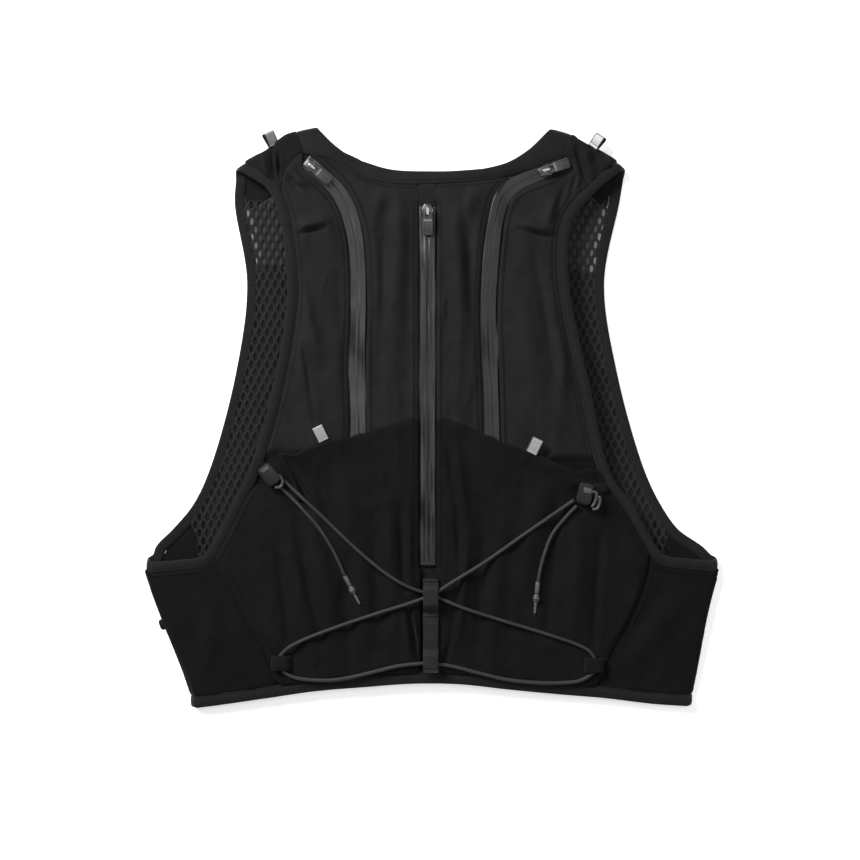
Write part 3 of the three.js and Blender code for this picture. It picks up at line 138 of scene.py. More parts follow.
# Folds of the cloth, a row each: the two ends as shares, half width and height in millimetres. The
# height is what a soft fold stands up by; a negative one is a pressed-in crease.
panel_folds = [
    (-0.482, 0.822, -0.366, 0.838, 4.5, 1.7), (-0.482, 0.812, -0.366, 0.826, 1.3, -1.5),
    (0.299, 0.834, 0.423, 0.818, 4.5, 1.5), (0.299, 0.822, 0.423, 0.806, 1.3, -1.4),
    (-0.472, 0.737, -0.394, 0.599, 7, 1.2), (-0.479, 0.651, -0.426, 0.520, 6, 1.2),
    (-0.455, 0.640, -0.405, 0.480, 2.5, -0.7), (-0.300, 0.800, -0.330, 0.650, 9, -0.9),
    (-0.340, 0.700, -0.320, 0.500, 7, 0.9), (-0.400, 0.860, -0.330, 0.780, 6, 0.8),
    (-0.511, 0.914, -0.465, 0.888, 3.0, -1.2), (-0.495, 0.922, -0.450, 0.900, 3.5, 1.0),
    (0.310, 0.719, 0.390, 0.520, 9, 1.0), (0.430, 0.700, 0.470, 0.500, 8, 1.0),
    (0.360, 0.780, 0.440, 0.560, 4, -0.7), (0.440, 0.880, 0.400, 0.830, 5, 1.4),
    (0.500, 0.760, 0.420, 0.420, 6, 0.8), (0.470, 0.900, 0.430, 0.850, 3, -0.9),
    (-0.113, 0.870, -0.141, 0.640, 9, 1.3), (-0.160, 0.860, -0.180, 0.560, 5, -1.0),
    (-0.205, 0.820, -0.185, 0.620, 6, 1.0), (-0.075, 0.850, -0.085, 0.500, 5, -0.6),
    (0.070, 0.870, 0.105, 0.640, 9, 1.5), (0.120, 0.850, 0.150, 0.640, 5, -1.1),
    (0.045, 0.840, 0.060, 0.640, 3.2, -0.9), (0.165, 0.800, 0.150, 0.560, 6, 0.8),
    (-0.170, 0.890, -0.210, 0.830, 6, 1.0), (0.150, 0.895, 0.120, 0.840, 6, 0.9),
    (-0.563, 0.952, -0.549, 0.905, 1.6, -1.2), (-0.538, 0.948, -0.537, 0.908, 1.6, -1.1),
    (-0.590, 0.945, -0.577, 0.908, 2.0, 0.9), (-0.550, 0.955, -0.543, 0.905, 1.5, 0.8),
    (0.556, 0.962, 0.592, 0.915, 1.6, -1.1), (0.504, 0.960, 0.539, 0.905, 1.8, -1.2),
    (0.609, 0.945, 0.634, 0.917, 1.8, 0.7), (0.530, 0.962, 0.565, 0.910, 1.8, 0.7),
    (0.482, 0.872, 0.502, 0.912, 1.8, -0.9), (-0.490, 0.900, -0.400, 0.905, 2.5, 0.6),
    (-0.532, 0.432, -0.478, 0.372, 7.0, -3.2), (0.430, 0.400, 0.560, 0.395, 8.0, -2.2),
]
pocket_folds = [
    (0.055, 0.447, 0.085, 0.365, 3.2, -1.2), (0.085, 0.365, 0.099, 0.246, 3.2, -1.3),
    (0.099, 0.246, 0.070, 0.130, 3.0, -1.2), (0.070, 0.130, 0.042, 0.072, 2.6, -1.0),
    (0.085, 0.447, 0.125, 0.300, 5, 1.4), (0.125, 0.300, 0.090, 0.120, 5, 1.3),
    (-0.113, 0.340, -0.095, 0.203, 3.0, -1.2), (-0.085, 0.180, -0.046, 0.088, 2.2, -1.4),
    (-0.067, 0.176, -0.039, 0.088, 1.8, 1.0), (-0.105, 0.180, -0.070, 0.080, 3.2, 1.0),
    (-0.150, 0.360, -0.140, 0.150, 7, 1.3), (-0.080, 0.350, -0.075, 0.200, 4, 1.0),
    (-0.430, 0.330, -0.340, 0.140, 9, 1.8), (-0.500, 0.300, -0.420, 0.090, 7, 1.4),
    (-0.470, 0.320, -0.385, 0.110, 5, -1.1), (-0.540, 0.280, -0.490, 0.080, 4.5, -1.0),
    (-0.306, 0.410, -0.270, 0.280, 9, 1.1), (-0.250, 0.300, -0.230, 0.120, 8, 0.9),
    (-0.200, 0.330, -0.190, 0.100, 6, -0.8), (-0.305, 0.260, -0.290, 0.060, 6, -0.8),
    (-0.500, 0.385, -0.420, 0.345, 4, -1.6), (-0.450, 0.390, -0.380, 0.340, 5, 1.3),
    (0.380, 0.380, 0.310, 0.200, 9, 1.3), (0.520, 0.323, 0.500, 0.140, 8, 1.3),
    (0.440, 0.360, 0.400, 0.130, 5, -0.9), (0.250, 0.350, 0.210, 0.120, 7, 1.0),
    (0.180, 0.330, 0.160, 0.100, 5, -0.8), (0.330, 0.160, 0.480, 0.075, 6, 0.8),
    (0.590, 0.300, 0.560, 0.100, 4, -0.8), (0.480, 0.405, 0.600, 0.360, 5, 1.2),
]
side_folds = [
    (-0.900, 0.200, -0.700, 0.080, 10, 0.9), (-0.820, 0.220, -0.640, 0.110, 7, -0.6),
    (0.900, 0.200, 0.700, 0.080, 10, 0.9), (0.820, 0.220, 0.680, 0.110, 7, -0.6),
    (-0.760, 0.190, -0.800, 0.060, 8, 0.7), (0.780, 0.180, 0.820, 0.060, 8, 0.7),
]


fold_strength = 2.5


def fold_rise(folds, x, y):
    rise = np.zeros(x.shape)
    for u0, v0, u1, v1, wide, high in folds:
        a, b = place([(u0, v0), (u1, v1)])
        run = b - a
        share = ((x - a[0]) * run[0] + (y - a[1]) * run[1]) / (run @ run)
        held = np.clip(share, 0, 1)
        away = np.hypot(x - a[0] - held * run[0], y - a[1] - held * run[1]) / (0.85 * wide)
        rise += high * np.exp(-away ** 2) * (0.35 + 0.65 * np.sin(np.pi * held))
    return fold_strength * rise


def rumple(x, y, size, seed):
    """Slow unevenness of soft cloth between -1 and 1, from a few crossing waves."""
    total = np.zeros(x.shape)
    for k in range(5):
        angle = seed * 1.7 + k * 2.4
        reach = size * (0.7 + 0.23 * k)
        total += np.sin((x * math.cos(angle) + y * math.sin(angle)) / reach * 2 * math.pi + seed * 3.1 + k)
    return total / 5


def crumple(x, y, wide, tall, seed):
    """Creased unevenness of cloth, near 0 on average, with crests about wide apart and tall long."""
    spots = zip(x / wide, y / tall)
    bent = [noise.noise((a, b + 0.6 * noise.noise((b, a, seed)), seed)) for a, b in spots]
    return 0.6 - 2.2 * np.abs(bent)


# Elastic lacing and its two loose ends. A 2.8 mm braided cord runs from the left lock down round
# both keepers, under the ladder webbing and back up to the right lock; each end hangs from a lock.
cord_size = 2.8
pocket_lift = 1.8
lacing_route = [
    (-110.5, -46.5, 2), (-97.5, -58.5, 1.6), (-81, -74, 0.3), (-57, -97, 0), (-34, -116, 0), (-17, -126, 0),
    (0, -132, 0), (23, -141.4, 0), (55.5, -152, 0), (88, -162, 0), (106.5, -168.5, 0), (117, -174, 0),
    (121.5, -181, 0), (119.5, -190, 0), (110, -196, 0), (97, -197.5, 0), (79.5, -197.5, 0), (55.5, -195, 0),
    (36, -190.5, 0), (16.5, -185.5, 0), (0, -183, 0), (-23, -184.5, 0), (-42, -189, 0), (-58.5, -193, 0),
    (-74, -195.5, 0), (-95, -195, 0), (-106.5, -192, 0), (-113, -186, 0), (-113.5, -179, 0),
    (-108, -172.5, 0), (-99, -167, 0), (-74, -157, 0), (-42, -146, 0), (-17, -138, 1.7), (0, -131.5, 3.2),
    (17, -121, 1.7), (39, -107.5, 0), (71, -85, 0), (95, -68.5, 1), (105.3, -61.5, 2.4),
]
tail_route = {
    "left": [(-114.5, -50, 2), (-107.5, -56.5, 1.6), (-98.5, -65.5, 1.0), (-84, -82, 0), (-75, -96, 0),
             (-69, -108, 0), (-65, -117.5, 0)],
    "right": [(107.5, -65.5, 2), (99, -74.5, 0.8), (89.3, -87, 0), (84, -100, 0), (80.3, -113.5, 0),
              (78.8, -122, 0)],
}


def on_pocket(x, y):
    return back_rise(x, y) + pocket_lift + fold_rise(pocket_folds, x, y)


def laid(route, count, bridged, lift=cord_size / 2 + 0.2):
    """A cord's points. It is tight enough to bridge hollows of the cloth up to twice bridged wide."""
    line = smooth_line(np.array(route) + [box_shift[0], box_shift[1], 0], count)
    x, y, over = line.T
    reach = cord_size / 2
    rest = np.max([on_pocket(x + a, y + b) for a in (-reach, 0, reach) for b in (-reach, 0, reach)], axis=0)
    near = max(1, round(bridged / (lengths(line)[-1] / count)))
    padded = np.pad(rest, near, mode="edge")
    crest = np.max([padded[k:k + len(rest)] for k in range(2 * near + 1)], axis=0)
    ease = np.hanning(2 * near + 3)[1:-1]
    held = np.convolve(np.pad(crest, near, mode="edge"), ease / ease.sum(), mode="valid")
    return np.column_stack([x, y, held + over + lift])


def grid_piece(name, columns, rows, shape, closed=False):
    """A mesh whose grid of s across and t along is laid out by shape(s, t) in millimetres."""
    bm = bmesh.new()
    bmesh.ops.create_grid(bm, x_segments=columns, y_segments=rows, size=0.5)
    mesh = bpy.data.meshes.new(name)
    bm.to_mesh(mesh)
    bm.free()
    flat = np.empty(len(mesh.vertices) * 3)
    mesh.vertices.foreach_get("co", flat)
    s, t = flat.reshape(-1, 3)[:, 0] + 0.5, flat.reshape(-1, 3)[:, 1] + 0.5
    points = shape(s, t)
    mesh.vertices.foreach_set("co", (points[:, :3] * mm).ravel())
    ends = np.empty(len(mesh.loops), int)
    mesh.loops.foreach_get("vertex_index", ends)
    layer = mesh.uv_layers.new(name="cloth")
    reach = points[:, 3:5] if points.shape[1] > 4 else np.column_stack([s, t])
    layer.data.foreach_set("uv", (reach[ends] * mm).ravel())
    if closed:
        bm = bmesh.new()
        bm.from_mesh(mesh)
        bmesh.ops.remove_doubles(bm, verts=bm.verts, dist=1e-6)
        rims = [edge for edge in bm.edges if edge.is_boundary]
        if rims:
            bmesh.ops.holes_fill(bm, edges=rims, sides=0)
        bmesh.ops.recalc_face_normals(bm, faces=bm.faces)
        bm.to_mesh(mesh)
        bm.free()
    for face in mesh.polygons:
        face.use_smooth = True
    obj = bpy.data.objects.new(name, mesh)
    bpy.context.scene.collection.objects.link(obj)
    return obj


def frames_of(path, up=(0, 0, 1)):
    """Direction, side and up vectors along a path."""
    step = np.gradient(path, axis=0)
    step /= np.linalg.norm(step, axis=1)[:, None] + 1e-12
    ups = np.broadcast_to(np.asarray(up, float), path.shape)
    side = np.cross(step, ups)
    side /= np.linalg.norm(side, axis=1)[:, None] + 1e-12
    return step, side, np.cross(side, step)


def along(values, t):
    marks = np.linspace(0, 1, len(values))
    return np.column_stack([np.interp(t, marks, values[:, k]) for k in range(values.shape[1])])


def cord_piece(name, path, size, sides=14):
    """A round cord whose rings sit on the path's own points, about 1.2 mm apart."""
    step, side, up = frames_of(path)
    run = np.linalg.norm(np.diff(path, axis=0), axis=1).sum()

    def shape(s, t):
        angle = s * 2 * np.pi
        ring = along(side, t) * np.cos(angle)[:, None] + along(up, t) * np.sin(angle)[:, None]
        points = along(path, t) + ring * size / 2
        return np.column_stack([points, s * size * np.pi, t * run])

    return grid_piece(name, sides, len(path) - 1, shape, closed=True)


def cord_material(name, colour, turn):
    material = bpy.data.materials.new(name)
    material.use_nodes = True
    tree = material.node_tree
    shader = tree.nodes["Principled BSDF"]
    uv = tree.nodes.new("ShaderNodeUVMap")
    uv.uv_map = "cloth"
    waves = []
    for sense in (1, -1):
        mapping = tree.nodes.new("ShaderNodeMapping")
        mapping.inputs["Rotation"].default_value = (0, 0, sense * turn)
        wave = tree.nodes.new("ShaderNodeTexWave")
        wave.inputs["Scale"].default_value = 240
        wave.inputs["Distortion"].default_value = 0
        tree.links.new(uv.outputs["UV"], mapping.inputs["Vector"])
        tree.links.new(mapping.outputs["Vector"], wave.inputs["Vector"])
        waves.append(wave)
    crossing = tree.nodes.new("ShaderNodeMath")
    crossing.operation = "MAXIMUM"
    tree.links.new(waves[0].outputs["Fac"], crossing.inputs[0])
    tree.links.new(waves[1].outputs["Fac"], crossing.inputs[1])
    ramp = tree.nodes.new("ShaderNodeValToRGB")
    ramp.color_ramp.elements[0].color = tuple(c * 0.35 for c in colour) + (1,)
    ramp.color_ramp.elements[1].color = tuple(colour) + (1,)
    tree.links.new(crossing.outputs["Value"], ramp.inputs["Fac"])
    tree.links.new(ramp.outputs["Color"], shader.inputs["Base Color"])
    bump = tree.nodes.new("ShaderNodeBump")
    bump.inputs["Distance"].default_value = 0.00025
    bump.inputs["Strength"].default_value = 0.9
    tree.links.new(crossing.outputs["Value"], bump.inputs["Height"])
    tree.links.new(bump.outputs["Normal"], shader.inputs["Normal"])
    shader.inputs["Roughness"].default_value = 0.6
    shader.inputs["Specular IOR Level"].default_value = 0.35
    return material


def dress(obj, material):
    obj.data.materials.clear()
    obj.data.materials.append(material)
    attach(obj, "root")
    return obj


braid = cord_material("braided_cord", (0.022, 0.022, 0.024), math.radians(38))
lacing_path = laid(lacing_route, 900, 11)
lacing = dress(cord_piece("elastic_lacing", lacing_path, cord_size), braid)
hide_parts("cord_lacing")

tails = {}
for side in ("left", "right"):
    tail_path = laid(tail_route[side], 80, 6)
    tail = dress(cord_piece(f"loose_end_{side}", tail_path, cord_size), braid)
    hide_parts(f"cord_tail_{side}")
    tails[side] = (tail, tail_path)


# Knotted cord ends: each loose end runs through a short shrunk tube, is tied in a small knot and
# leaves a frayed stub of bare cord.
tail_tip = {"left": (-53.5, -138.5), "right": (76.5, -146.0)}
tube_size = 3.8
knot_size = 5.4


def knot_piece(name, start, tip):
    """Tube, knot and stub in one mesh, laid on the pocket from the cord's end to its tip."""
    heading = (tip - start) / np.linalg.norm(tip - start)
    bm = bmesh.new()

    def at(far, lift=cord_size / 2 + 0.3):
        x, y = start + heading * far
        return Vector((x, y, float(on_pocket(np.array([x]), np.array([y]))[0]) + lift)) * mm

    turn = Vector((heading[0], heading[1], 0)).to_track_quat("Z", "Y").to_matrix().to_4x4()

    def bead(far, long, wide, rings, lift=cord_size / 2 + 0.3):
        size = Matrix.Diagonal((wide * mm / 2, wide * mm / 2, long * mm / 2, 1))
        made = bmesh.ops.create_uvsphere(bm, u_segments=18, v_segments=rings, radius=1,
                                         matrix=Matrix.Translation(at(far, lift)) @ turn @ size)
        return made["verts"]

    tube = bmesh.ops.create_cone(bm, cap_ends=True, segments=20, radius1=tube_size * mm / 2,
                                 radius2=tube_size * mm / 2 * 0.92, depth=9 * mm,
                                 matrix=Matrix.Translation(at(4.5, 1.9)) @ turn)
    rims = {e for v in tube["verts"] for e in v.link_edges if any(len(f.verts) > 4 for f in e.link_faces)}
    bmesh.ops.bevel(bm, geom=list(rims), offset=0.4 * mm, segments=2, profile=0.5, affect="EDGES")
    bead(11.2, 4.6, knot_size * 0.86, 10, 2.2)
    bead(12.6, 4.0, knot_size, 10, 2.5)
    bead(14.2, 3.4, knot_size * 0.8, 10, 2.0)
    for k in range(5):
        bead(16.5 + 1.6 * k, 3.0, cord_size * (0.95 - 0.06 * k), 8, 1.5)
    mesh = bpy.data.meshes.new(name)
    bm.to_mesh(mesh)
    bm.free()
    for face in mesh.polygons:
        face.use_smooth = True
    obj = bpy.data.objects.new(name, mesh)
    bpy.context.scene.collection.objects.link(obj)
    return obj


end_cloth = bpy.data.materials.new("knotted_end")
end_cloth.use_nodes = True
end_shader = end_cloth.node_tree.nodes["Principled BSDF"]
end_noise = end_cloth.node_tree.nodes.new("ShaderNodeTexNoise")
end_noise.inputs["Scale"].default_value = 900
end_place = end_cloth.node_tree.nodes.new("ShaderNodeTexCoord")
end_ramp = end_cloth.node_tree.nodes.new("ShaderNodeValToRGB")
end_ramp.color_ramp.elements[0].color = (0.020, 0.020, 0.021, 1)
end_ramp.color_ramp.elements[1].color = (0.085, 0.085, 0.090, 1)
end_bump = end_cloth.node_tree.nodes.new("ShaderNodeBump")
end_bump.inputs["Distance"].default_value = 0.0003
end_cloth.node_tree.links.new(end_place.outputs["Object"], end_noise.inputs["Vector"])
end_cloth.node_tree.links.new(end_noise.outputs["Fac"], end_ramp.inputs["Fac"])
end_cloth.node_tree.links.new(end_ramp.outputs["Color"], end_shader.inputs["Base Color"])
end_cloth.node_tree.links.new(end_noise.outputs["Fac"], end_bump.inputs["Height"])
end_cloth.node_tree.links.new(end_bump.outputs["Normal"], end_shader.inputs["Normal"])
end_shader.inputs["Roughness"].default_value = 0.55

for side in ("left", "right"):
    tail, tail_path = tails[side]
    end = knot_piece(f"knotted_end_{side}", tail_path[-1, :2], np.array(tail_tip[side]))
    dress(end, end_cloth)
    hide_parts(f"cord_end_{side}")
    points = [Vector(p * mm) for p in tail_path]


# Cloth finishes. All the cloth is black: a smooth woven stretch cloth on the back and sides, a
# slightly rougher one for the pockets, and the grain, folds and dull sheen are what tell them apart.
def group_socket(group, name, kind, way, value=None):
    socket = group.interface.new_socket(name=name, in_out=way, socket_type=kind)
    if value is not None:
        socket.default_value = value
    return socket


weave = bpy.data.node_groups.new("weave", "ShaderNodeTree")
for name, value in (("Thread size", 0.6), ("Cloudiness", 0.3), ("Seam depth", 1.0)):
    group_socket(weave, name, "NodeSocketFloat", "INPUT", value)
group_socket(weave, "Colour", "NodeSocketColor", "INPUT", (0.02, 0.02, 0.02, 1))
group_socket(weave, "Colour", "NodeSocketColor", "OUTPUT")
group_socket(weave, "Height", "NodeSocketFloat", "OUTPUT")
group_socket(weave, "Roughness", "NodeSocketFloat", "OUTPUT")


def maths(tree, operation, a, b=None, c=None):
    made = tree.nodes.new("ShaderNodeMath")
    made.operation = operation
    for slot, value in enumerate((a, b, c)):
        if value is None:
            continue
        if isinstance(value, (int, float)):
            made.inputs[slot].default_value = value
        else:
            tree.links.new(value, made.inputs[slot])
    return made.outputs["Value"]


w_in = weave.nodes.new("NodeGroupInput")
w_out = weave.nodes.new("NodeGroupOutput")
w_place = weave.nodes.new("ShaderNodeTexCoord")
w_split = weave.nodes.new("ShaderNodeSeparateXYZ")
weave.links.new(w_place.outputs["Object"], w_split.inputs["Vector"])
pitch = maths(weave, "DIVIDE", 2 * math.pi / mm, w_in.outputs["Thread size"])
warp = maths(weave, "SINE", maths(weave, "MULTIPLY", w_split.outputs["X"], pitch))
twill = maths(weave, "ADD", w_split.outputs["X"], maths(weave, "MULTIPLY", w_split.outputs["Y"], 1.7))
weft = maths(weave, "SINE", maths(weave, "MULTIPLY", twill, pitch))
threads = maths(weave, "MULTIPLY", maths(weave, "ADD", warp, weft), 0.25)
cloud = weave.nodes.new("ShaderNodeTexNoise")
cloud.inputs["Scale"].default_value = 55
cloud.inputs["Detail"].default_value = 5
weave.links.new(w_place.outputs["Object"], cloud.inputs["Vector"])
fuzz = weave.nodes.new("ShaderNodeTexNoise")
fuzz.inputs["Scale"].default_value = 1400
fuzz.inputs["Detail"].default_value = 2
weave.links.new(w_place.outputs["Object"], fuzz.inputs["Vector"])
seam_far = weave.nodes.new("ShaderNodeAttribute")
seam_far.attribute_name = "seam_far"
groove_span = maths(weave, "DIVIDE", maths(weave, "SUBTRACT", seam_far.outputs["Fac"], 3.6), 0.9)
groove_square = maths(weave, "MULTIPLY", groove_span, groove_span)
groove = maths(weave, "EXPONENT", maths(weave, "MULTIPLY", groove_square, -1))
groove = maths(weave, "MULTIPLY", groove, w_in.outputs["Seam depth"])
creases = weave.nodes.new("ShaderNodeTexNoise")
creases.inputs["Scale"].default_value = 42
creases.inputs["Detail"].default_value = 3
creases.inputs["Distortion"].default_value = 0.6
weave.links.new(w_place.outputs["Object"], creases.inputs["Vector"])
height = maths(weave, "ADD", maths(weave, "MULTIPLY", threads, 0.30),
               maths(weave, "MULTIPLY", fuzz.outputs["Fac"], 0.35))
height = maths(weave, "ADD", height, maths(weave, "MULTIPLY", creases.outputs["Fac"], 7.0))
height = maths(weave, "SUBTRACT", height, maths(weave, "MULTIPLY", groove, 1.6))
weave.links.new(height, w_out.inputs["Height"])
shade = maths(weave, "ADD", maths(weave, "MULTIPLY", maths(weave, "SUBTRACT", cloud.outputs["Fac"], 0.5),
                                  w_in.outputs["Cloudiness"]), 1.0)
shade = maths(weave, "ADD", shade, maths(weave, "MULTIPLY", threads, 0.35))
# Painted shade: the cloth colour is darkened by up to 35% along the stitched seam groove, where shade falls.
groove_painted_shade = maths(weave, "SUBTRACT", 1.0, maths(weave, "MULTIPLY", groove, 0.35))
shade = maths(weave, "MULTIPLY", shade, groove_painted_shade)
# Painted shade: cloth lying inside the pockets, seen only through the gaps at their mouths, is darkened in
# colour by up to 75%.
in_pocket = weave.nodes.new("ShaderNodeAttribute")
in_pocket.attribute_name = "in_pocket"
pocket_painted_shade = maths(weave, "SUBTRACT", 1.0, maths(weave, "MULTIPLY", in_pocket.outputs["Fac"], 0.75))
shade = maths(weave, "MULTIPLY", shade, pocket_painted_shade)
tint = weave.nodes.new("ShaderNodeVectorMath")
tint.operation = "SCALE"
weave.links.new(w_in.outputs["Colour"], tint.inputs[0])
weave.links.new(shade, tint.inputs["Scale"])
weave.links.new(tint.outputs["Vector"], w_out.inputs["Colour"])
cloud_swing = maths(weave, "MULTIPLY", maths(weave, "SUBTRACT", cloud.outputs["Fac"], 0.5), 0.25)
rough = maths(weave, "SUBTRACT", 0.82, cloud_swing)
weave.links.new(rough, w_out.inputs["Roughness"])


def cloth_material(name, colour, thread=0.6, cloudiness=0.5, gloss=0.16, sheen=0.04, seam=1.0):
    material = bpy.data.materials.new(name)
    material.use_nodes = True
    tree = material.node_tree
    shader = tree.nodes["Principled BSDF"]
    grain = tree.nodes.new("ShaderNodeGroup")
    grain.node_tree = weave
    grain.inputs["Thread size"].default_value = thread
    grain.inputs["Cloudiness"].default_value = cloudiness
    grain.inputs["Seam depth"].default_value = seam
    grain.inputs["Colour"].default_value = tuple(colour) + (1,)
    bump = tree.nodes.new("ShaderNodeBump")
    bump.inputs["Distance"].default_value = 0.00022
    bump.inputs["Strength"].default_value = 0.6
    tree.links.new(grain.outputs["Colour"], shader.inputs["Base Color"])
    tree.links.new(grain.outputs["Roughness"], shader.inputs["Roughness"])
    tree.links.new(grain.outputs["Height"], bump.inputs["Height"])
    tree.links.new(bump.outputs["Normal"], shader.inputs["Normal"])
    shader.inputs["Specular IOR Level"].default_value = gloss
    shader.inputs["Sheen Weight"].default_value = sheen
    shader.inputs["Sheen Roughness"].default_value = 0.45
    return material


stretch_cloth = cloth_material("stretch_cloth", (0.0080, 0.0080, 0.0086), gloss=0.11)
pocket_cloth = cloth_material("pocket_cloth", (0.0042, 0.0042, 0.0044), thread=0.7, gloss=0.07)
side_cloth = cloth_material("side_cloth", (0.0040, 0.0040, 0.0043), thread=0.6, gloss=0.06)
yoke_cloth = cloth_material("yoke_cloth", (0.0055, 0.0055, 0.0059), gloss=0.09)
lining_cloth = cloth_material("lining_cloth", (0.0070, 0.0070, 0.0073), thread=0.9, gloss=0.12, seam=0.0)


# Lines that the panels meet at: the zips, the neck and side seams and the inner edges of the bindings.
centre_zip_x = -0.015 * half_width + box_shift[0]
centre_zip_ends = (place([(0, 0.251)])[0, 1], place([(0, 0.860)])[0, 1])
side_zip = {
    "left": [(-0.261, 0.350, 1), (-0.261, 0.441, 1), (-0.259, 0.482, 1), (-0.262, 0.589, 1),
             (-0.257, 0.700, 1), (-0.266, 0.800, 1), (-0.290, 0.850, 1), (-0.330, 0.887, 1),
             (-0.385, 0.914, 1), (-0.437, 0.935, 1)],
    "right": [(0.211, 0.350, 1), (0.211, 0.435, 1), (0.209, 0.482, 1), (0.203, 0.589, 1), (0.197, 0.680, 1),
              (0.209, 0.781, 1), (0.224, 0.837, 1), (0.252, 0.880, 1), (0.300, 0.901, 0.95),
              (0.352, 0.912, 0.9), (0.418, 0.925, 0.85)],
}
zip_half = 6.5
zip_middle = {side: smooth_line(place(rows), 260) for side, rows in side_zip.items()}
zip_middle["centre"] = np.column_stack([np.full(160, centre_zip_x), np.linspace(*centre_zip_ends, 160),
                                        np.ones(160)])


def beside(line, off):
    """The line moved to its right."""
    step = np.gradient(line[:, :2], axis=0)
    step /= np.linalg.norm(step, axis=1)[:, None]
    moved = line.copy()
    moved[:, 0] += step[:, 1] * off
    moved[:, 1] -= step[:, 0] * off
    return moved


zip_edges = [beside(zip_middle[name], sign * zip_half)
             for name in ("left", "right", "centre") for sign in (-1, 1)]
back_armhole = {
    "left": [(-0.981, 0.252), (-0.887, 0.256), (-0.805, 0.264), (-0.746, 0.306), (-0.694, 0.358),
             (-0.641, 0.410), (-0.567, 0.530), (-0.514, 0.668), (-0.507, 0.735), (-0.539, 0.849),
             (-0.577, 0.890), (-0.665, 0.919)],
    "right": [(0.981, 0.254), (0.900, 0.258), (0.812, 0.266), (0.754, 0.306), (0.697, 0.355),
              (0.627, 0.401), (0.546, 0.565), (0.486, 0.702), (0.475, 0.775), (0.493, 0.835),
              (0.574, 0.886), (0.656, 0.920)],
}
binding_width = 8.0
armhole_edge = {side: smooth_line(place(rows), 200) for side, rows in back_armhole.items()}
armhole_seam = {"left": beside(armhole_edge["left"], binding_width),
                "right": beside(armhole_edge["right"], -binding_width)}
neck_seam_rows = [(-0.454, 0.957), (-0.359, 0.944), (-0.282, 0.928), (-0.222, 0.912), (-0.141, 0.902),
                  (0.0, 0.902), (0.120, 0.905), (0.218, 0.910), (0.310, 0.921), (0.465, 0.950)]
neck_seam = smooth_line(place(neck_seam_rows), 160)
side_seam = {
    "left": smooth_line(place([(-0.538, 0.044), (-0.574, 0.098), (-0.637, 0.150), (-0.690, 0.201),
                               (-0.745, 0.246)]), 60),
    "right": smooth_line(place([(0.580, 0.040), (0.623, 0.095), (0.676, 0.133), (0.736, 0.194),
                                (0.765, 0.246)]), 60),
}


# Cloth panels of the back, sides and shoulders. Each is cut to the outline of its solid, sewn to its
# neighbours and the zips with a turned edge, and then takes the folds of a vest that lies empty.
seam_allowance = 1.1
zip_allowance = 0.3

# How the lacing pulls a pocket's mouth out of line: how far along it from the armhole, and the shift
# across, down and up there, all in millimetres. The left corner stands free over a deep notch.
mouth_pulls = {
    "left": [(0, 0, 0, 0), (6, 6, -3, 0.2), (14, 17, -8, 0.4), (20, 6, 2, 2.5), (27, -5.5, 11.5, 3.5),
             (38, -1, 3, 3), (52, 0, 0, 0)],
    "right": [(0, 0, 0, 0), (9, 0, -1, 2.0), (20, 0, -6, 3.5), (31, 0, -3, 3.0), (46, 0, 0, 0)],
}
mouth_reach = 17.0


